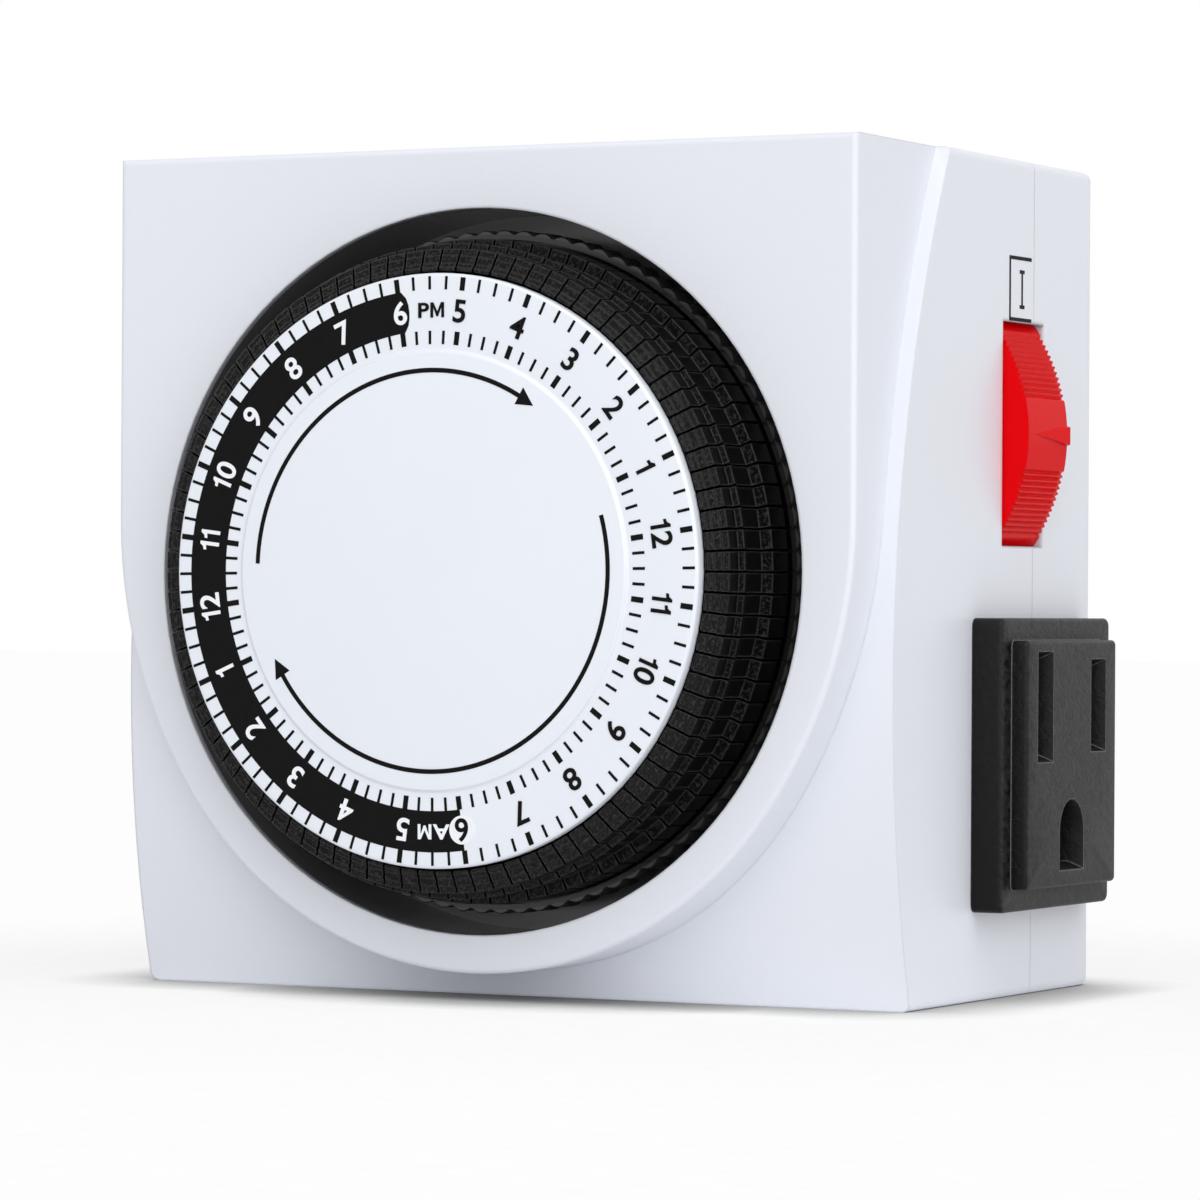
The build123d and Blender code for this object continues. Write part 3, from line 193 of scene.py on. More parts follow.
finish_nodes(polished_black_abs("well_abs_painted_reflection", ("#707070", "#808080")), "dial_well")


# ---- movement ----------------------------------------------------------------
# Behind the well: natural acetal gears and plate, a pressed steel motor and a brass pinion.
# Acetal is cream white and waxy.
acetal, *_ = mottled("natural_acetal", 6.0, 2.0, ("#E4E0D2", "#EEEADC"), (0.4, 0.5))
finish_nodes(acetal, "movement_plate", "dial_gear", "idler_gear", "follower_lever", "friction_washer")

brass = bare_metal("stamped_brass", 1.2, 5.0, ("#B9974A", "#CDAE62"), (0.24, 0.34))
finish_nodes(brass, "motor_pinion", "moving_contact", "fixed_contact", "contacts_right", "contacts_left",
             "neutral_bus", "line_bus", "ground_strap")
finish_nodes(zinc, "motor_can")


# ---- dial body ---------------------------------------------------------------
# The drum, the slotted flange and the skirt are one black ABS moulding, glossy where the skirt shows
# between the segments and the well. Round ribs run along the skirt, one to each segment; they are
# coloured a lighter grey than the drum, a painted sheen for their glossy reflections.
finish_nodes(polished_black_abs("drum_black_abs", ("#101010", "#161616")), "dial_body")

DIAL_AXIS = Vector(next(j for j in frame["joints"] if j["name"] == "dial_turn")["pos_m"])
QUARTERS = 96
SKIRT_R_MM = (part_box("dial_body")[1].x - DIAL_AXIS.x) * 1000
SKIRT_DEPTHS_MM = (3.7, 6.9)
LOBE_RISE_MM = 0.42
LOBE_STEPS = 8
LOBE_ROOT_MM = 0.3                # how far inside the skirt's wall a rib starts
LOBE_NOSE_MM = (0.1, 0.15)        # bevel at a rib's front: in radius and in depth


def dial_point(radius_mm, angle, y):
    """Point on the dial: radius in millimetres, angle clockwise from the top."""
    return Vector((DIAL_AXIS.x + metres(radius_mm) * math.sin(angle), y,
                   DIAL_AXIS.z + metres(radius_mm) * math.cos(angle)))


def join_rows(shape, rows, around=True, closed=False):
    """Quads between rows of vertices. Around also joins each row's two ends, closed the last row and the first."""
    for one, two in zip(rows, rows[1:] + rows[:1] if closed else rows[1:]):
        for k in range(len(one) if around else len(one) - 1):
            m = (k + 1) % len(one)
            shape.faces.new((one[k], one[m], two[m], two[k]))


def prism(shape, front, back):
    """Closed solid between two outlines with the same number of points."""
    rows = [[shape.verts.new(p) for p in outline] for outline in (front, back)]
    shape.faces.new(list(reversed(rows[0])))
    shape.faces.new(rows[1])
    join_rows(shape, rows)


def plain_mesh(name, shape):
    """Ends a shape as a mesh with flat faces."""
    bmesh.ops.recalc_face_normals(shape, faces=shape.faces)
    mesh = bpy.data.meshes.new(name)
    shape.to_mesh(mesh)
    shape.free()
    return mesh


def smooth_mesh(name, shape, crease_deg):
    """Ends a shape as a mesh that is shaded smooth except at its creases."""
    mesh = plain_mesh(name, shape)
    mesh.shade_smooth()
    mesh.set_sharp_from_angle(angle=math.radians(crease_deg))
    return mesh


def new_piece(name, mesh, material, body):
    """Object at the origin that shows a mesh, rides on a body and takes a finish."""
    piece = bpy.data.objects.new(name, mesh)
    bpy.context.scene.collection.objects.link(piece)
    mesh.materials.clear()
    mesh.materials.append(material)
    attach(piece, body)
    return piece


def skirt_lobes():
    """Ring of round ribs that closes over the skirt's own wall."""
    shape = bmesh.new()
    front, back = (FACE_Y + metres(d) for d in SKIRT_DEPTHS_MM)
    rows = []
    count = QUARTERS * LOBE_STEPS
    root = SKIRT_R_MM - LOBE_ROOT_MM
    lower, behind = LOBE_NOSE_MM
    for i in range(count):
        turn = 2 * math.pi * i / count
        crest = SKIRT_R_MM + LOBE_RISE_MM * abs(math.sin(math.pi * i / LOBE_STEPS))
        rows.append([shape.verts.new(dial_point(r, turn, y)) for r, y in (
            (root, front), (crest - lower, front), (crest, front + metres(behind)), (crest, back), (root, back))])
    join_rows(shape, rows, closed=True)
    return smooth_mesh("skirt_lobes", shape, 40.0)


# the ribs' lighter grey is a painted sheen, not a different plastic
lobe_painted_sheen = polished_black_abs("lobe_abs_painted_sheen", ("#343434", "#404040"))
new_piece("skirt_lobes", skirt_lobes(), lobe_painted_sheen, "dial")


# ---- dial face ---------------------------------------------------------------
# A white ABS disc with a raised centre, pad-printed in black ink: a night band, four ticks an
# hour inside and outside it, and the hours twice from 1 to 12.
DISC_SOFT_MM = 0.12


def polished_white_abs():
    """The dial's white is smoother and glossier than the housing's, and a little brighter."""
    material, tree, shader, _ = mottled("polished_white_abs", 12.0, 1.0, ("#E9EDF5", "#EBEFF7"), (0.22, 0.28))
    soft = add(tree, "ShaderNodeBevel", {"Radius": metres(DISC_SOFT_MM)}, samples=6)
    tree.links.new(soft.outputs["Normal"], shader.inputs["Normal"])
    shader.inputs["IOR"].default_value = 1.53
    return material


INK_SPECULAR = 0.06


def printing_ink(name, tone, edge_tone):
    """Pad-printing ink: thin, even and slightly satin, with pinholes too small to see."""
    material, _, shader, _ = mottled(name, 0.5, 3.0, (tone, edge_tone), (0.38, 0.5))
    shader.inputs["Specular IOR Level"].default_value = INK_SPECULAR
    return material


black_ink = printing_ink("black_ink", "#0F0F0F", "#151515")
white_ink = printing_ink("white_ink", "#F4F6FA", "#EEF1F7")

DISC_LOW, DISC_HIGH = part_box("dial_face")
DISC_R_MM = (DISC_HIGH.x - DISC_LOW.x) / 2 * 1000
PAD_RISE_MM = 0.3
PAD_R_MM = 19.8
PAD_EDGE_MM = 0.26
PAD_FLARE_MM = 0.15
DISC_EDGE_MM = 0.35
DISC_STEPS = 192
INK_T_MM = 0.03
OVER_INK_MM = INK_T_MM * 1.5    # what is printed over the band stands out of it by half a film
PAD_Y = DISC_LOW.y + metres(INK_T_MM)
RING_Y = DISC_LOW.y + metres(PAD_RISE_MM)
BAND_OUT_MM = 25.25
BAND_IN_MM = 21.55
NUMBER_R_MM = 23.4
TICK_L_MM = 1.2
TICK_W_MM = 0.26
HOUR_TICK_W_MM = 0.5
NUMBER_H_MM = 2.0
HOUR_TURN = math.radians(15)
FIVE_PM_LEAN = math.radians(6.8)
HALF_DAY = 12


def hour_angle(hour):
    """Angle from the top of the dial, clockwise as seen from the front, of an hour from 0 to 24."""
    return FIVE_PM_LEAN + (17 - hour) * HOUR_TURN


def raised_outline(name, outline, y_back, thickness_mm):
    """Thin plate in the XZ plane from a closed outline of points, its front towards -Y."""
    shape = bmesh.new()
    y_front = y_back - metres(thickness_mm)
    prism(shape, [(p.x, y_front, p.z) for p in outline], [(p.x, y_back, p.z) for p in outline])
    return plain_mesh(name, shape)


def round_corner(r_mm, depth_mm, radius_mm, turns):
    """Points of a quarter circle in radius and depth, about a centre."""
    return [(r_mm + radius_mm * math.sin(math.radians(t)), depth_mm - radius_mm * math.cos(math.radians(t)))
            for t in turns]


def printed_disc():
    """The disc as a turned profile, its raised centre set back by the thickness of the ink on it."""
    ring, back = PAD_RISE_MM - INK_T_MM, (DISC_HIGH.y - PAD_Y) * 1000
    profile = (round_corner(PAD_R_MM - PAD_EDGE_MM, PAD_EDGE_MM, PAD_EDGE_MM, range(0, 76, 15))
               + [(PAD_R_MM + PAD_FLARE_MM, ring)]
               + round_corner(DISC_R_MM - DISC_EDGE_MM, ring + DISC_EDGE_MM, DISC_EDGE_MM, range(0, 91, 15))
               + [(DISC_R_MM, back)])
    shape = bmesh.new()
    rows = []
    for i in range(DISC_STEPS):
        turn = 2 * math.pi * i / DISC_STEPS
        rows.append([shape.verts.new(dial_point(r, turn, PAD_Y + metres(d))) for r, d in profile])
    join_rows(shape, rows, around=False, closed=True)
    shape.faces.new([row[0] for row in rows])
    shape.faces.new([row[-1] for row in reversed(rows)])
    return smooth_mesh("printed_disc", shape, 24.0)


disc = new_piece("printed_disc", printed_disc(), polished_white_abs(), "dial")
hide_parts("dial_face")


# ---- night band
BAND_PAST = math.radians(0.7)    # the band runs past the middle of the evening 6
NIGHT_START = hour_angle(18) + BAND_PAST
NIGHT_END = hour_angle(6) - 2 * math.pi
BAND_STEP = math.radians(1.25)
BULGE_R_MM = 1.3
BULGE_TURNS = (0.0, 1.1, 1.5, 1.6, 1.5, 1.1, 0.0)    # degrees past the end, from its inner to its outer edge


def ring_strip(name, r_in, r_out, start, end, y_back, thickness_mm):
    """Ring sector as quads, going from one angle down to another."""
    count = max(1, round(abs(end - start) / BAND_STEP))
    shape = bmesh.new()
    rows = []
    for i in range(count + 1):
        a = start + (end - start) * i / count
        front, back = y_back - metres(thickness_mm), y_back
        rows.append([shape.verts.new(dial_point(r, a, y)) for r, y in
                     ((r_in, front), (r_out, front), (r_out, back), (r_in, back))])
    join_rows(shape, rows)
    shape.faces.new(rows[0])
    shape.faces.new(list(reversed(rows[-1])))
    return plain_mesh(name, shape)


def disc_outline(centre, radius_mm, steps=28):
    r = metres(radius_mm)
    return [centre + Vector((r * math.cos(t), 0, r * math.sin(t)))
            for t in (2 * math.pi * i / steps for i in range(steps))]


new_piece("night_band", ring_strip("night_band", BAND_IN_MM, BAND_OUT_MM, NIGHT_START, NIGHT_END, RING_Y, INK_T_MM),
          black_ink, "dial")
dusk = [dial_point(BAND_IN_MM + (BAND_OUT_MM - BAND_IN_MM) * k / (len(BULGE_TURNS) - 1),
                   NIGHT_START + math.radians(past), RING_Y) for k, past in enumerate(BULGE_TURNS)]
new_piece("night_band_dusk_end", raised_outline("dusk", dusk, RING_Y, INK_T_MM), black_ink, "dial")
dawn = dial_point(NUMBER_R_MM, hour_angle(6), RING_Y)
new_piece("night_band_dawn_end", raised_outline("dawn", disc_outline(dawn, BULGE_R_MM), RING_Y, OVER_INK_MM),
          white_ink, "dial")


# ---- ticks
def geometry_tree(name, sizes):
    """Geometry Nodes tree with one geometry in and out and named sizes; sizes are (name, socket type)."""
    tree = bpy.data.node_groups.new(name, "GeometryNodeTree")
    tree.interface.new_socket("Geometry", in_out="INPUT", socket_type="NodeSocketGeometry")
    for label, kind in sizes:
        tree.interface.new_socket(label, in_out="INPUT", socket_type=kind)
    tree.interface.new_socket("Geometry", in_out="OUTPUT", socket_type="NodeSocketGeometry")
    return tree, add(tree, "NodeGroupInput"), add(tree, "NodeGroupOutput")


def grown_mesh(name, base, tree, values):
    """Runs a tree on a mesh and returns the result as a plain mesh."""
    carrier = bpy.data.objects.new(name, base)
    bpy.context.scene.collection.objects.link(carrier)
    modifier = carrier.modifiers.new("grow", "NODES")
    modifier.node_group = tree
    sockets = {s.name: s.identifier for s in tree.interface.items_tree if s.in_out == "INPUT"}
    for label, value in values.items():
        modifier[sockets[label]] = value
    bpy.context.view_layer.update()
    grown = carrier.evaluated_get(bpy.context.evaluated_depsgraph_get())
    mesh = bpy.data.meshes.new_from_object(grown)
    carrier.modifiers.remove(modifier)
    bpy.data.objects.remove(carrier)
    return mesh


def end_tree(tree, given, result, copies, material):
    """Makes the copies real, moves them to the centre and gives them their material."""
    solid = add(tree, "GeometryNodeRealizeInstances", {"Geometry": copies.outputs[0]})
    centred = add(tree, "GeometryNodeTransform", {"Geometry": solid.outputs[0], "Translation": given.outputs["Centre"]})
    painted = add(tree, "GeometryNodeSetMaterial", {"Geometry": centred.outputs[0], "Material": material})
    tree.links.new(painted.outputs[0], result.inputs[0])
    return tree


def ring_of_bars_tree(material):
    """Thin bars round the dial's axis, every fourth one wider."""
    tree, given, result = geometry_tree("ring_of_bars", (
        ("Count", "NodeSocketInt"), ("Every", "NodeSocketInt"), ("Radius", "NodeSocketFloat"),
        ("Length", "NodeSocketFloat"), ("Width", "NodeSocketFloat"), ("Wide", "NodeSocketFloat"),
        ("Thickness", "NodeSocketFloat"), ("First", "NodeSocketFloat"), ("Centre", "NodeSocketVector")))
    g = given.outputs
    size = add(tree, "ShaderNodeCombineXYZ", {"X": 1.0, "Y": g["Thickness"], "Z": g["Length"]})
    bar = add(tree, "GeometryNodeMeshCube", {"Size": size.outputs["Vector"]})
    out = add(tree, "ShaderNodeCombineXYZ", {"Z": g["Radius"]})
    placed = add(tree, "GeometryNodeTransform", {"Geometry": bar.outputs["Mesh"], "Translation": out.outputs["Vector"]})
    dots = add(tree, "GeometryNodePoints", {"Count": g["Count"]})
    index = add(tree, "GeometryNodeInputIndex").outputs["Index"]
    step = add(tree, "ShaderNodeMath", {0: 2 * math.pi, 1: g["Count"]}, operation="DIVIDE")
    turn = add(tree, "ShaderNodeMath", {0: index, 1: step.outputs[0], 2: g["First"]}, operation="MULTIPLY_ADD")
    spin = add(tree, "ShaderNodeCombineXYZ", {"Y": turn.outputs[0]})
    rest = add(tree, "ShaderNodeMath", {0: index, 1: g["Every"]}, operation="MODULO")
    is_hour = add(tree, "ShaderNodeMath", {0: rest.outputs[0], 1: 0.5}, operation="LESS_THAN")
    width = add(tree, "ShaderNodeMix", {"Factor": is_hour.outputs[0], 2: g["Width"], 3: g["Wide"]}, data_type="FLOAT")
    scale = add(tree, "ShaderNodeCombineXYZ", {"X": width.outputs[0], "Y": 1.0, "Z": 1.0})
    copies = add(tree, "GeometryNodeInstanceOnPoints", {
        "Points": dots.outputs[0], "Instance": placed.outputs[0], "Rotation": spin.outputs[0],
        "Scale": scale.outputs[0]})
    return end_tree(tree, given, result, copies, material)


bars = ring_of_bars_tree(black_ink)
for name, radius in (("outer_ticks", BAND_OUT_MM + TICK_L_MM / 2), ("inner_ticks", BAND_IN_MM - TICK_L_MM / 2)):
    mesh = grown_mesh(name, bpy.data.meshes.new(name), bars, {
        "Count": QUARTERS, "Every": 4, "Radius": metres(radius), "Length": metres(TICK_L_MM),
        "Width": metres(TICK_W_MM), "Wide": metres(HOUR_TICK_W_MM), "Thickness": metres(INK_T_MM),
        "First": FIVE_PM_LEAN, "Centre": (DIAL_AXIS.x, RING_Y - metres(INK_T_MM / 2), DIAL_AXIS.z)})
    new_piece(name, mesh, black_ink, "dial")


# ---- numbers
CAPITAL_SHARE = 0.7    # of the font's size


def lettering(name, word, height_mm, squeeze, weight_mm, thickness_mm):
    """Flat word as a mesh in XZ, centred on the origin, its top towards +Z and its front towards -Y."""
    curve = bpy.data.curves.new(name, "FONT")
    curve.body = word
    curve.align_x = "CENTER"
    curve.align_y = "CENTER"
    curve.size = metres(height_mm) / CAPITAL_SHARE
    curve.offset = metres(weight_mm)
    curve.extrude = metres(thickness_mm) / 2
    carrier = bpy.data.objects.new(name, curve)
    bpy.context.scene.collection.objects.link(carrier)
    bpy.context.view_layer.update()
    mesh = bpy.data.meshes.new_from_object(carrier.evaluated_get(bpy.context.evaluated_depsgraph_get()))
    bpy.data.objects.remove(carrier)
    low = Vector((min(v.co.x for v in mesh.vertices), min(v.co.y for v in mesh.vertices), 0))
    high = Vector((max(v.co.x for v in mesh.vertices), max(v.co.y for v in mesh.vertices), 0))
    mesh.transform(Matrix.Translation(-(low + high) / 2))
    mesh.transform(Matrix.Diagonal((squeeze, 1, 1, 1)))
    mesh.transform(Matrix.Rotation(math.radians(90), 4, "X"))
    return mesh


def on_the_dial(mesh, radius_mm, angle, y):
    """Places flat lettering on the dial, its top outwards."""
    mesh.transform(Matrix.Rotation(angle, 4, "Y"))
    mesh.transform(Matrix.Translation(dial_point(radius_mm, angle, y)))
    return mesh


NUMBER_SQUEEZE = 1.02
NUMBER_WEIGHT_MM = 0.055
DIGIT_GAP_MM = 0.3
ONE_MM = (0.34, 0.42, 0.34)    # stem width, reach of the flag, its height


def digit_one(name):
    """A 1 with a flag: the lettering font draws it as a bare stroke."""
    wide, reach, flag = ONE_MM
    top, foot = NUMBER_H_MM / 2, -NUMBER_H_MM / 2
    right = (wide + reach) / 2
    stem = right - wide
    corners = [(stem, foot), (right, foot), (right, top), (right - wide * 0.75, top), (stem - reach * 0.35, top - flag),
               (-right, top - flag * 1.15), (-right, top - flag * 2.0), (stem, top - flag * 1.8)]
    points = [Vector((metres(x), 0, metres(z))) for x, z in corners]
    return raised_outline(name, points, metres(INK_T_MM / 2), INK_T_MM)


HALF_DAY_M_MM = (1.4, 1.36, 0.28)


def letter_m(name):
    """An M for the half-day marks, its strokes as wide as a tick."""
    wide, tall, stroke = HALF_DAY_M_MM
    half = [(wide / 2, tall / 2), (wide / 2, -tall / 2), (wide / 2 - stroke, -tall / 2),
            (wide / 2 - stroke, tall * 0.2), (stroke * 0.3, -tall * 0.42)]
    top = [(0, -tall * 0.1), (wide / 2 - stroke * 1.1, tall / 2)]
    corners = [top[0], top[1]] + half + [(-x, z) for x, z in reversed(half)] + [(-top[1][0], top[1][1])]
    points = [Vector((metres(x), 0, metres(z))) for x, z in corners]
    return raised_outline(name, points, metres(INK_T_MM / 2), INK_T_MM)


def number(name, word):
    """A number's digits side by side, centred on the origin."""
    digits = [digit_one(name) if c == "1"
              else lettering(name, c, NUMBER_H_MM, NUMBER_SQUEEZE, NUMBER_WEIGHT_MM, INK_T_MM) for c in word]
    widths = [max(v.co.x for v in m.vertices) - min(v.co.x for v in m.vertices) for m in digits]
    reach = -(sum(widths) + metres(DIGIT_GAP_MM) * (len(word) - 1)) / 2
    shape = bmesh.new()
    for mesh, width in zip(digits, widths):
        mesh.transform(Matrix.Translation((reach + width / 2, 0, 0)))
        shape.from_mesh(mesh)
        reach += width + metres(DIGIT_GAP_MM)
    return plain_mesh(name, shape)


for hour in range(24):
    at_night = hour >= 18 or hour < 6
    word = str(hour % HALF_DAY or HALF_DAY)
    label = f"hour_{hour:02d}"
    mesh = number(label, word)
    on_the_dial(mesh, NUMBER_R_MM, hour_angle(hour), RING_Y - metres(OVER_INK_MM))
    new_piece(label, mesh, white_ink if at_night else black_ink, "dial")

HALF_DAY_H_MM = 1.3
HALF_DAY_SQUEEZE = 1.25
HALF_DAY_WEIGHT_MM = 0.045
HALF_DAY_GAP_MM = 0.15
for label, word, hour, ink in (("mark_pm", "PM", 17.5, black_ink), ("mark_am", "AM", 5.5, white_ink)):
    first = lettering(label, word[0], HALF_DAY_H_MM, HALF_DAY_SQUEEZE, HALF_DAY_WEIGHT_MM, INK_T_MM)
    reach = max(v.co.x for v in first.vertices) * 1000 + HALF_DAY_GAP_MM / 2
    middle = HALF_DAY_M_MM[0] / 2 + HALF_DAY_GAP_MM / 2
    for part, mesh, shift in ((word[0].lower(), first, -reach), ("m", letter_m(label), middle)):
        mesh.transform(Matrix.Translation((metres(shift), 0, 0)))
        on_the_dial(mesh, NUMBER_R_MM, hour_angle(hour), RING_Y - metres(OVER_INK_MM))
        new_piece(f"{label}_{part}", mesh, ink, "dial")


# ---- turning arrows
ARROW_R_MM = 18.0
ARROW_W_MM = 0.42
ARROW_HEAD_MM = 1.7
for label, start, end in (("turning_arrow_upper", math.radians(-88), math.radians(30)),
                          ("turning_arrow_lower", math.radians(74), math.radians(238))):
    mesh = ring_strip(label, ARROW_R_MM - ARROW_W_MM / 2, ARROW_R_MM + ARROW_W_MM / 2, start, end, PAD_Y, INK_T_MM)
    new_piece(label, mesh, black_ink, "dial")
    reach = ARROW_HEAD_MM / ARROW_R_MM
    head = [dial_point(ARROW_R_MM + ARROW_HEAD_MM / 2, end, 0), dial_point(ARROW_R_MM, end + reach, 0),
            dial_point(ARROW_R_MM - ARROW_HEAD_MM / 2, end, 0)]
    new_piece(label + "_head", raised_outline(label, head, PAD_Y, INK_T_MM), black_ink, "dial")


# ---- segments ----------------------------------------------------------------
# 96 black ABS push segments ring the dial. Each is moulded with a stepped nose, a waist and an
# outer thumb block, and its lightly grained faces have slightly rounded edges. Light specks on the
# faces towards the front are painted glints, and the lighter edges are a painted highlight.
SEG_EDGE_MM = 0.08


def edge_wear(tree, radius_mm):
    """Painted highlight along edges: 1 along edges and 0 on faces, from how far the normal, rounded over a radius,
    turns from the face's own.
    """
    soft = add(tree, "ShaderNodeBevel", {"Radius": metres(radius_mm)}, samples=4)
    own = add(tree, "ShaderNodeNewGeometry").outputs["True Normal"]
    turned = add(tree, "ShaderNodeVectorMath", {0: soft.outputs["Normal"], 1: own}, operation="DOT_PRODUCT")
    lightened_edge = add(tree, "ShaderNodeMapRange", {"Value": turned.outputs["Value"], "From Min": 0.97, "From Max": 0.8})
    return lightened_edge.outputs["Result"]


def grained_black_abs():
    material, tree, shader = new_material("grained_black_abs")
    place = add(tree, "ShaderNodeTexCoord").outputs["Object"]
    grit = add(tree, "ShaderNodeTexNoise", {"Vector": place, "Scale": per_metre(0.22), "Detail": 3.0})
    facing = add(tree, "ShaderNodeSeparateXYZ", {"Vector": add(tree, "ShaderNodeNewGeometry").outputs["Normal"]})
    front = add(tree, "ShaderNodeMapRange", {"Value": facing.outputs["Y"], "From Min": -0.5, "From Max": -0.9})
    speck = add(tree, "ShaderNodeMapRange", {"Value": grit.outputs["Fac"], "From Min": 0.48, "From Max": 0.72})
    painted_glints = add(tree, "ShaderNodeMath", {0: speck.outputs["Result"], 1: front.outputs["Result"]}, operation="MULTIPLY")
    # painted glints: light specks, only on the faces towards the front
    shade = blend(tree, painted_glints.outputs[0], "#080808", "#3A3A3A")
    # painted highlight: the edges are painted lighter
    two_tones(tree, shader, edge_wear(tree, SEG_EDGE_MM), shade, "#4A4A4A")
    strength = add(tree, "ShaderNodeMapRange", {"Value": front.outputs["Result"], "To Min": 0.05, "To Max": 0.5})
    bump = add(tree, "ShaderNodeBump", {"Height": grit.outputs["Fac"], "Strength": strength.outputs["Result"],
                                        "Distance": metres(0.06)})
    tree.links.new(bump.outputs["Normal"], shader.inputs["Normal"])
    shader.inputs["Roughness"].default_value = 0.3
    shader.inputs["IOR"].default_value = 1.53
    shader.inputs["Specular IOR Level"].default_value = 0.12
    return material


SEG_GAP_MM = 0.22
SEG_IN_MM = 26.95
SEG_STEPS_MM = ((27.3, -6.9), (27.7, -6.65), (28.4, -6.4), (29.0, -6.1))
SEG_LEDGE_MM = (29.6, -4.3, -3.7)
SEG_WAIST_MM = (29.15, -3.5)
SEG_FOOT_MM = (30.25, 0.0, 3.2)
STEM_MM = (27.4, 28.6, 1.1, 8.4)
PER_HOUR = 4


def segment_outline():
    """Radius and depth behind the housing's face, from the disc outwards and back along the flange."""
    points = [(SEG_IN_MM, SEG_STEPS_MM[0][1])]
    for (radius, depth), (_, lower) in zip(SEG_STEPS_MM, SEG_STEPS_MM[1:] + ((0, SEG_LEDGE_MM[1]),)):
        points += [(radius, depth), (radius, lower)]
    ledge_r, ledge_top, ledge_low = SEG_LEDGE_MM
    waist_r, waist_top = SEG_WAIST_MM
    foot_r, foot_top, foot_low = SEG_FOOT_MM
    return points + [(ledge_r, ledge_top), (ledge_r, ledge_low), (waist_r, waist_top), (waist_r, foot_top),
                     (foot_r, foot_top), (foot_r, foot_low), (SEG_IN_MM, foot_low)]


def one_segment():
    """A segment on the +X side of an axis at the origin, with its edges rounded."""
    points = segment_outline()
    pitch = math.pi / QUARTERS
    shape = bmesh.new()
    prism(shape, *([(metres(r), FACE_Y + metres(d), sign * metres(r * math.tan(pitch) - SEG_GAP_MM / 2))
                    for r, d in points] for sign in (-1, 1)))
    bmesh.ops.bevel(shape, geom=list(shape.edges), offset=metres(SEG_EDGE_MM), segments=1, affect="EDGES",
                    clamp_overlap=True)
    near, far, wide, back = STEM_MM
    stem = bmesh.ops.create_cube(shape, size=1.0)["verts"]
    front = SEG_FOOT_MM[2]
    bmesh.ops.scale(shape, verts=stem, vec=(metres(far - near), metres(back - front), metres(wide)))
    bmesh.ops.translate(shape, verts=stem, vec=(metres(far + near) / 2, FACE_Y + metres(back + front) / 2, 0))
    return plain_mesh("one_segment", shape)


def hour_of_segments_tree(material):
    """Copies of one segment about the dial's axis, for one hour."""
    tree, given, result = geometry_tree("hour_of_segments", (
        ("Copies", "NodeSocketInt"), ("First", "NodeSocketFloat"), ("Step", "NodeSocketFloat"),
        ("Centre", "NodeSocketVector")))
    g = given.outputs
    dots = add(tree, "GeometryNodePoints", {"Count": g["Copies"]})
    index = add(tree, "GeometryNodeInputIndex").outputs["Index"]
    turn = add(tree, "ShaderNodeMath", {0: index, 1: g["Step"], 2: g["First"]}, operation="MULTIPLY_ADD")
    back = add(tree, "ShaderNodeMath", {0: turn.outputs[0], 1: -1.0}, operation="MULTIPLY")
    spin = add(tree, "ShaderNodeCombineXYZ", {"Y": back.outputs[0]})
    copies = add(tree, "GeometryNodeInstanceOnPoints", {
        "Points": dots.outputs[0], "Instance": g["Geometry"], "Rotation": spin.outputs[0]})
    return end_tree(tree, given, result, copies, material)


black_grain = grained_black_abs()
segment = one_segment()
hour_tree = hour_of_segments_tree(black_grain)
for hour in range(24):
    node = f"segments_{hour:02d}"
    step = 2 * math.pi / QUARTERS
    mesh = grown_mesh(node, segment, hour_tree, {
        "Copies": PER_HOUR, "First": (hour * PER_HOUR + 0.5) * step, "Step": step,
        "Centre": (DIAL_AXIS.x, 0, DIAL_AXIS.z)})
    piece = new_piece(f"push_tabs_{hour:02d}", mesh, black_grain, f"segment_group_{hour:02d}")
    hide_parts(node)


# ---- override selector -------------------------------------------------------
# A red ABS thumb drum that stands out of the right side, ribbed above and below a smooth middle
# with a raised pointer. Polished red plastic, with fine scratches from handling.
THUMB_EDGE_MM = 0.1


def polished_red_abs():
    material, tree, shader, _ = mottled("polished_red_abs", 3.0, 5.0, ("#DE0209", "#E4030B"), (0.14, 0.24))
    soft = add(tree, "ShaderNodeBevel", {"Radius": metres(THUMB_EDGE_MM)}, samples=6)
    tree.links.new(soft.outputs["Normal"], shader.inputs["Normal"])
    shader.inputs["IOR"].default_value = 1.12
    return material


SEL_LOW, SEL_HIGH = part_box("override_selector")
SEL_AXIS = Vector(next(j for j in frame["joints"] if j["name"] == "selector_turn")["pos_m"])
THUMB_R_MM = (SEL_HIGH.x - SEL_AXIS.x) * 1000
POINTER_RISE_MM = 0.5
DRUM_R_MM = THUMB_R_MM - POINTER_RISE_MM
HALF_SWEEP = math.radians(43.6)
RIM_MM = 3.4
RIB_PITCH_MM = 0.56
RIB_DEEP_MM = 0.28
SMOOTH_MM = 3.3
END_SMOOTH_MM = 3.3
RIB_END_MM = HALF_SWEEP * DRUM_R_MM - END_SMOOTH_MM
POINTER_W_MM = 2.3
POINTER_CREST = 0.72
POINTER_TIP_MM, POINTER_TAIL_MM = 0.9, 0.45
POINTER_SUNK_MM, POINTER_TOE_MM = 0.6, 0.02    # below the drum's surface: its base and the foot of its slope
HUB_R_MM = 2.8
PIN_R_MM = 1.28
SPOKE_MM = 4.2
STEPS_PER_RIB = 4
RIM_STEPS = 24
HUB_STEPS = 28
OVERLAP_MM = 0.3    # of the spoke with the hub and the rim


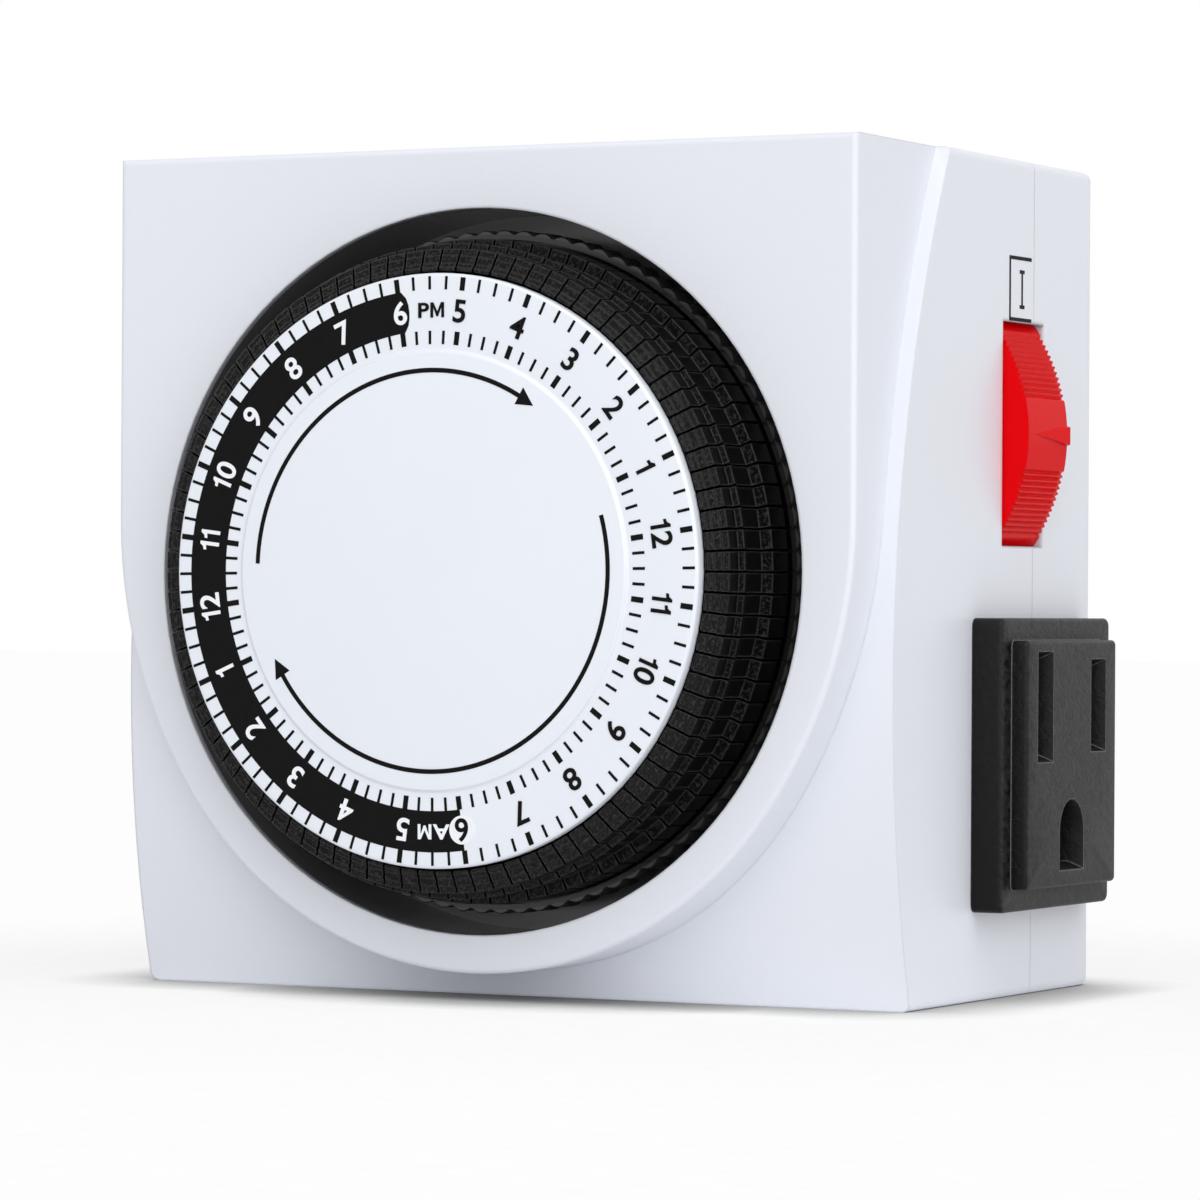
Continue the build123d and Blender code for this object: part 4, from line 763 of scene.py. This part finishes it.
def thumb_profile():
    """(radius, angle) along the thumb surface: smooth middle and ends, ribs between, from below upwards."""
    points = []
    first, last = SMOOTH_MM / DRUM_R_MM, RIB_END_MM / DRUM_R_MM
    ribs = round((last - first) * DRUM_R_MM / RIB_PITCH_MM)
    for k in range(ribs * STEPS_PER_RIB + 1):
        angle = first + (last - first) * k / (ribs * STEPS_PER_RIB)
        wave = 0.5 - 0.5 * math.cos(2 * math.pi * k / STEPS_PER_RIB)
        points.append((DRUM_R_MM - RIB_DEEP_MM * wave, angle))
    end = [(DRUM_R_MM, last + (HALF_SWEEP - last) * k / 6) for k in range(1, 7)]
    middle = [(DRUM_R_MM, first * k / 5) for k in range(-4, 5)]
    upper = points + end
    return [(r, -a) for r, a in reversed(upper)] + middle + upper


def about_pin(r_mm, angle):
    return SEL_AXIS.x + metres(r_mm) * math.cos(angle), SEL_AXIS.z + metres(r_mm) * math.sin(angle)


def thumb_drum():
    """Ribbed rim, one spoke, the hub round its pin, and the pointer on the smooth middle."""
    shape = bmesh.new()
    y0, y1 = SEL_LOW.y, SEL_HIGH.y
    inner = DRUM_R_MM - RIM_MM
    sweep = [HALF_SWEEP - 2 * HALF_SWEEP * k / RIM_STEPS for k in range(RIM_STEPS + 1)]
    rim = [about_pin(r, a) for r, a in thumb_profile()] + [about_pin(inner, a) for a in sweep]
    half = metres(SPOKE_MM) / 2
    x0, x1 = SEL_AXIS.x + metres(HUB_R_MM - OVERLAP_MM), SEL_AXIS.x + metres(inner + OVERLAP_MM)
    z = SEL_AXIS.z
    for outline in (rim, [(x0, z - half), (x1, z - half), (x1, z + half), (x0, z + half)]):
        prism(shape, *([(x, y, high) for x, high in outline] for y in (y0, y1)))
    corners = [about_pin(r, 2 * math.pi * k / HUB_STEPS) for r in (HUB_R_MM, PIN_R_MM) for k in range(HUB_STEPS)]
    outside, bore = corners[:HUB_STEPS], corners[HUB_STEPS:]
    join_rows(shape, [[shape.verts.new((x, y, high)) for x, high in ring]
                      for ring, y in ((outside, y0), (outside, y1), (bore, y1), (bore, y0))], closed=True)
    low, flat, tall = (SEL_AXIS.x + metres(r) for r in (DRUM_R_MM - POINTER_SUNK_MM,
                                                         DRUM_R_MM - POINTER_TOE_MM, THUMB_R_MM))
    w = metres(POINTER_W_MM) / 2
    tip, tail = y0 + metres(POINTER_TIP_MM), y1 - metres(POINTER_TAIL_MM)
    prism(shape, [(low, tip, z), (low, tail, z - w), (low, tail, z + w)],
          [(flat, tip, z), (tall, tail, z - w * POINTER_CREST), (tall, tail, z + w * POINTER_CREST)])
    return smooth_mesh("thumb_drum", shape, 30.0)


drum = new_piece("thumb_drum", thumb_drum(), polished_red_abs(), "selector")
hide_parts("override_selector")


# ---- outlets -----------------------------------------------------------------
# Two black receptacles with slots for two blades and a ground pin, moulded with a fine leather
# like grain on the faces. The faces are painted lighter than the walls round them, a painted sheen,
# and the edges carry a painted highlight.
OUTLET_EDGE_MM = 0.35


def leather_grained_black():
    """Black ABS: leather grain on the faces towards the sides, painted lighter than the darker and smoother
    walls round them as a painted sheen; the edges carry a painted highlight.
    """
    material, tree, shader = new_material("leather_grained_black")
    place = add(tree, "ShaderNodeTexCoord").outputs["Object"]
    even = add(tree, "ShaderNodeVectorMath", {0: place, 1: (1.0, 0.5, 1.0)}, operation="MULTIPLY").outputs["Vector"]
    hide = add(tree, "ShaderNodeTexNoise", {"Vector": even, "Scale": per_metre(0.7), "Detail": 5.0,
                                            "Roughness": 0.62, "Distortion": 0.6})
    facing = add(tree, "ShaderNodeSeparateXYZ", {"Vector": add(tree, "ShaderNodeNewGeometry").outputs["Normal"]})
    outward = add(tree, "ShaderNodeMath", {0: facing.outputs["X"]}, operation="ABSOLUTE")
    face = add(tree, "ShaderNodeMapRange", {"Value": outward.outputs[0], "From Min": 0.55, "From Max": 0.9})
    speck = add(tree, "ShaderNodeMapRange", {"Value": hide.outputs["Fac"], "From Min": 0.35, "From Max": 0.68})
    grain = blend(tree, speck.outputs["Result"], "#020202", "#2C2C2C")
    # painted sheen: faces towards the sides take the grain's lighter colours, the walls a flat darker black
    shade = blend(tree, face.outputs["Result"], "#0C0C0C", grain)
    # painted highlight along the edges
    two_tones(tree, shader, edge_wear(tree, OUTLET_EDGE_MM / 2), shade, "#8C8C8C")
    roughness_between(tree, shader, hide.outputs["Fac"], 0.3, 0.5)
    soft = add(tree, "ShaderNodeBevel", {"Radius": metres(OUTLET_EDGE_MM)}, samples=6)
    bump = add(tree, "ShaderNodeBump", {"Height": hide.outputs["Fac"], "Strength": 0.8, "Distance": metres(0.12),
                                        "Normal": soft.outputs["Normal"]})
    tree.links.new(bump.outputs["Normal"], shader.inputs["Normal"])
    shader.inputs["IOR"].default_value = 1.53
    shader.inputs["Specular IOR Level"].default_value = 0.16
    return material


outlet_black = leather_grained_black()
finish_nodes(outlet_black, "plug_insulator")
BASE_MM = (25.8, 26.9, 3.0, 0.8)    # depth, height, rise and corner radius
FACE_MM = (21.4, 22.8, 1.6, 0.5)
BODY_MM = (22.2, 22.8, 2.0)         # depth, height, and how far behind the side face it starts
SLOTS_MM = ((-6.35, 5.3, 2.4, 8.9), (6.35, 5.3, 2.4, 7.4))    # middle beside and above the block's, width, height
GROUND_MM = (0.0, -6.6, 5.8, 6.6)
MOUTH_MM = (0.65, 1.3)              # lead-in round a hole: width and depth
SLOT_CHAMBER_MM = (3.1, 2.6, 1.0)    # depth, and how much wider and taller than the slot
GROUND_CHAMBER_MM = (7.6, 1.6)
CORNER_STEPS = 4


def block_outline(depth_mm, height_mm, radius_mm):
    """Rectangle with round corners as (depth, height) points about its middle."""
    points = []
    for k, (a, b) in enumerate(((1, 1), (-1, 1), (-1, -1), (1, -1))):
        for step in range(CORNER_STEPS + 1):
            t = math.radians(90 * (k + step / CORNER_STEPS))
            points.append((a * (depth_mm / 2 - radius_mm) + radius_mm * math.cos(t),
                           b * (height_mm / 2 - radius_mm) + radius_mm * math.sin(t)))
    return points


def rounded_block(size, x_from, x_to):
    """Rings of a block from its foot to its outward face, the last ones rounding its edge."""
    depth, height, _, corner = size
    rings = [(block_outline(depth, height, corner), x_from)]
    for k in range(CORNER_STEPS + 1):
        t = math.radians(90 * k / CORNER_STEPS)
        inset = OUTLET_EDGE_MM * (1 - math.cos(t))
        rings.append((block_outline(depth - 2 * inset, height - 2 * inset, corner - inset),
                      x_to - OUTLET_EDGE_MM * (1 - math.sin(t))))
    return rings


def slot_outline(slot, grow_w=0.0, grow_h=0.0):
    d, z, w, h = slot
    return [(d + a * (w + grow_w) / 2, z + b * (h + grow_h) / 2) for a, b in ((1, 1), (-1, 1), (-1, -1), (1, -1))]


def ground_outline(grow_w=0.0, grow_h=0.0):
    """Flat at the bottom, round at the top."""
    d, z, w, h = GROUND_MM
    r, half = (w + grow_w) / 2, (h + grow_h) / 2
    arc = [(d + r * math.cos(t), z + half - r + r * math.sin(t)) for t in (math.pi * k / 12 for k in range(13))]
    return arc + [(d - r, z - half), (d + r, z - half)]


def moulded_outlet(name, node, sign):
    """Closed receptacle: base, raised face, body inside the housing, and three holes with lead-ins."""
    shape = bmesh.new()
    low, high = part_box(node)
    middle_y, middle_z = (low.y + high.y) / 2, (low.z + high.z) / 2
    wall, inside = SIDE_X * 1000, min(abs(low.x), abs(high.x)) * 1000
    base_x, face_x = wall + BASE_MM[2], wall + BASE_MM[2] + FACE_MM[2]

    def ring(outline, x):
        return [shape.verts.new((sign * metres(x), middle_y + sign * metres(d), middle_z + metres(z)))
                for d, z in outline]

    def skin(rings):
        made = [ring(outline, x) for outline, x in rings]
        join_rows(shape, made)
        return made[0], made[-1]

    def cap(loops):
        edges = [shape.edges.get((loop[k], loop[(k + 1) % len(loop)])) for loop in loops for k in range(len(loop))]
        bmesh.ops.triangle_fill(shape, use_beauty=True, use_dissolve=False, edges=edges)

    base_foot, base_top = skin(rounded_block(BASE_MM, wall, base_x))
    face_foot, face_top = skin(rounded_block(FACE_MM, base_x, face_x))
    seat = wall - BODY_MM[2]
    neck = block_outline(FACE_MM[0], FACE_MM[1], FACE_MM[3])
    body = block_outline(BODY_MM[0], BODY_MM[1], FACE_MM[3])
    body_top, body_end = skin([(neck, wall), (neck, seat), (body, seat), (body, inside)])
    mouths, ends = [], []
    wide, deep = MOUTH_MM
    for slot in SLOTS_MM:
        skin_mm, more_w, more_h = SLOT_CHAMBER_MM
        chamber = slot_outline(slot, more_w, more_h)
        throat = slot_outline(slot)
        first, last = skin([(slot_outline(slot, 2 * wide, 2 * wide), face_x), (throat, face_x - deep),
                            (throat, face_x - skin_mm), (chamber, face_x - skin_mm), (chamber, inside)])
        mouths.append(first)
        ends.append(last)
    skin_mm, more_w = GROUND_CHAMBER_MM
    throat, chamber = ground_outline(-2 * wide, -2 * wide), ground_outline(more_w)
    first, last = skin([(ground_outline(), face_x), (throat, face_x - deep), (throat, face_x - skin_mm),
                        (chamber, face_x - skin_mm), (chamber, inside)])
    cap([base_top, face_foot])
    cap([face_top, first] + mouths)
    cap([base_foot, body_top])
    cap([body_end, last] + ends)
    return smooth_mesh(name, shape, 35.0)


for side, sign in (("right", 1), ("left", -1)):
    piece = new_piece(f"receptacle_{side}", moulded_outlet(f"receptacle_{side}", f"outlet_{side}", sign), outlet_black,
                      "housing")
    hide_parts(f"outlet_{side}")


# ---- plug --------------------------------------------------------------------
# Two flat blades and a round ground pin of nickel-plated brass stand out of the rear cover. They
# are bright and smooth.
nickel = bare_metal("nickel_plated_brass", 1.2, 5.0, ("#BDBAB0", "#D2CFC6"), (0.16, 0.26))
finish_nodes(nickel, "neutral_blade", "line_blade", "ground_pin")


# ---- switch mark -------------------------------------------------------------
# A box, open towards the seam, and an upright stroke with serifs, in black ink on the side wall
# above the selector.
MARK_DEPTHS_MM = (30.2, 35.4)
MARK_HEIGHTS_MM = (62.7, 68.75)
MARK_LINE_MM = 0.34
STROKE_DEPTH_MM = 33.2
STROKE_HEIGHTS_MM = (63.9, 67.5)
SERIF_MM = 1.1


def side_bar(depths_mm, heights_mm):
    """Corner points of an ink bar on the right side wall."""
    (d0, d1), (z0, z1) = depths_mm, heights_mm
    return [(FACE_Y + metres(d), metres(z)) for d, z in ((d0, z0), (d1, z0), (d1, z1), (d0, z1))]


def side_print(name, bars_on_side):
    shape = bmesh.new()
    for corners in bars_on_side:
        prism(shape, *([(x, y, z) for y, z in corners] for x in (SIDE_X, SIDE_X + metres(INK_T_MM))))
    return plain_mesh(name, shape)


line = MARK_LINE_MM
d0, d1 = MARK_DEPTHS_MM
z0, z1 = MARK_HEIGHTS_MM
s0, s1 = STROKE_HEIGHTS_MM
stem = (STROKE_DEPTH_MM - line / 2, STROKE_DEPTH_MM + line / 2)
serif = (STROKE_DEPTH_MM - SERIF_MM / 2, STROKE_DEPTH_MM + SERIF_MM / 2)
for name, placed in (
        ("switch_mark_box", (((d0, d0 + line), (z0, z1)), ((d0 + line, d1), (z0, z0 + line)),
                             ((d0 + line, d1), (z1 - line, z1)))),
        ("switch_mark_stroke", ((stem, (s0 + line, s1 - line)), (serif, (s0, s0 + line)), (serif, (s1 - line, s1))))):
    mesh = side_print(name, [side_bar(depths, heights) for depths, heights in placed])
    new_piece(name, mesh, black_ink, "housing")


# ---- floor, light and camera -------------------------------------------------
# A white card under one large soft lamp from above and to the right of the front, in a white room.
# Mirrored and seen directly the room is plain white, and it lights the object less than that.
# reach and depth of the painted shadow round the object's foot
FOOT_SHADE_MM = 11.0
FOOT_SHADE_DEPTH = 1.4
FLOOR_NEAR = 0.055
FLOOR_FAR = 0.13


def white_card():
    """Card lit near the object, with a painted shadow round its foot from ambient occlusion on its glow, and plain
    white further off, as on a light table.
    """
    material, tree, shader = new_material("white_card")
    tree.nodes.remove(shader)
    place = add(tree, "ShaderNodeTexCoord").outputs["Object"]
    fibre = add(tree, "ShaderNodeTexNoise", {"Vector": place, "Scale": per_metre(3.0)})
    white = blend(tree, fibre.outputs["Fac"], "#FBFBFB", "#FFFFFF")
    ray = add(tree, "ShaderNodeLightPath").outputs
    shown = add(tree, "ShaderNodeMath", {0: ray["Is Camera Ray"], 1: ray["Is Glossy Ray"]}, operation="MAXIMUM")
    shade = blend(tree, shown.outputs[0], "#F4F4F4", white)
    card = add(tree, "ShaderNodeBsdfDiffuse", {"Color": shade})
    # painted shadow: ambient occlusion darkens the card's glow round the object's foot
    open_sky = add(tree, "ShaderNodeAmbientOcclusion", {"Distance": metres(FOOT_SHADE_MM)}, samples=12)
    foot = add(tree, "ShaderNodeMath", {0: open_sky.outputs["AO"], 1: FOOT_SHADE_DEPTH}, operation="POWER")
    glow_with_painted_shadow = add(tree, "ShaderNodeEmission", {"Color": white, "Strength": foot.outputs[0]})
    away = add(tree, "ShaderNodeVectorMath", {0: place}, operation="LENGTH")
    fade = add(tree, "ShaderNodeMapRange", {"Value": away.outputs["Value"], "From Min": FLOOR_NEAR,
                                            "From Max": FLOOR_FAR, "To Min": 0.8}, interpolation_type="SMOOTHSTEP")
    far = add(tree, "ShaderNodeMath", {0: fade.outputs["Result"], 1: ray["Is Camera Ray"]}, operation="MULTIPLY")
    both = add(tree, "ShaderNodeMixShader", {0: far.outputs[0], 1: card.outputs[0], 2: glow_with_painted_shadow.outputs[0]})
    tree.links.new(both.outputs[0], tree.nodes["Material Output"].inputs["Surface"])
    return material


FLOOR_HALF = 3.0
floor_mesh = bpy.data.meshes.new("floor")
floor_mesh.from_pydata([(a * FLOOR_HALF, b * FLOOR_HALF, 0) for a, b in ((-1, -1), (1, -1), (1, 1), (-1, 1))], [],
                       [(0, 1, 2, 3)])
floor = bpy.data.objects.new("floor", floor_mesh)
floor_mesh.materials.append(white_card())
bpy.context.scene.collection.objects.link(floor)

ROOM_LEVEL = 0.345
LAMP_AZIMUTH, LAMP_HEIGHT = math.radians(38.0), math.radians(42.0)    # right of the front, upwards
LAMP_AWAY, LAMP_SIZE, LAMP_WATTS = 3.0, 5.4, 132.0
world = bpy.data.worlds.new("studio")
world.use_nodes = True
bpy.context.scene.world = world
sky = world.node_tree
seen = add(sky, "ShaderNodeLightPath").outputs
mirrored = add(sky, "ShaderNodeMath", {0: seen["Is Glossy Ray"], 1: seen["Is Transmission Ray"]}, operation="MAXIMUM")
shown = add(sky, "ShaderNodeMath", {0: seen["Is Camera Ray"], 1: mirrored.outputs[0]}, operation="MAXIMUM")
level = add(sky, "ShaderNodeMapRange", {"Value": shown.outputs[0], "To Min": ROOM_LEVEL, "To Max": 1.0})
sky.nodes["Background"].inputs["Color"].default_value = (1, 1, 1, 1)
sky.links.new(level.outputs["Result"], sky.nodes["Background"].inputs["Strength"])

OBJECT_MIDDLE = Vector((0, 0, 0.039))
lamp = bpy.data.lights.new("key_light", "AREA")
lamp.size = LAMP_SIZE
lamp.energy = LAMP_WATTS
holder = bpy.data.objects.new("key_light", lamp)
bpy.context.scene.collection.objects.link(holder)
towards = Vector((math.sin(LAMP_AZIMUTH) * math.cos(LAMP_HEIGHT), -math.cos(LAMP_AZIMUTH) * math.cos(LAMP_HEIGHT),
                  math.sin(LAMP_HEIGHT)))
holder.location = OBJECT_MIDDLE + towards * LAMP_AWAY
holder.rotation_euler = towards.to_track_quat("Z", "Y").to_euler()

CAMERA_FROM_FACE = Vector((0.236458, -0.427844, 0.036005))
YAW, PITCH, ROLL = math.radians(27.574), math.radians(-0.068), math.radians(0.339)
FOCAL_PIXELS = 5371.292
FRAME_PIXELS = 1200
forward = Vector((-math.sin(YAW) * math.cos(PITCH), math.cos(YAW) * math.cos(PITCH), -math.sin(PITCH)))
level_right = Vector((math.cos(YAW), math.sin(YAW), 0))
level_up = level_right.cross(forward)
right = level_right * math.cos(ROLL) + level_up * math.sin(ROLL)
up = level_up * math.cos(ROLL) - level_right * math.sin(ROLL)
camera_data = bpy.data.cameras.new("camera")
camera_data.sensor_width = 36.0
camera_data.lens = FOCAL_PIXELS / FRAME_PIXELS * camera_data.sensor_width
camera = bpy.data.objects.new("camera", camera_data)
bpy.context.scene.collection.objects.link(camera)
turn = Matrix((right, up, -forward)).transposed().to_4x4()
camera.matrix_world = Matrix.Translation(Vector((0, FACE_Y, 0)) + CAMERA_FROM_FACE) @ turn
bpy.context.scene.camera = camera
bpy.context.scene.view_settings.view_transform = "Standard"
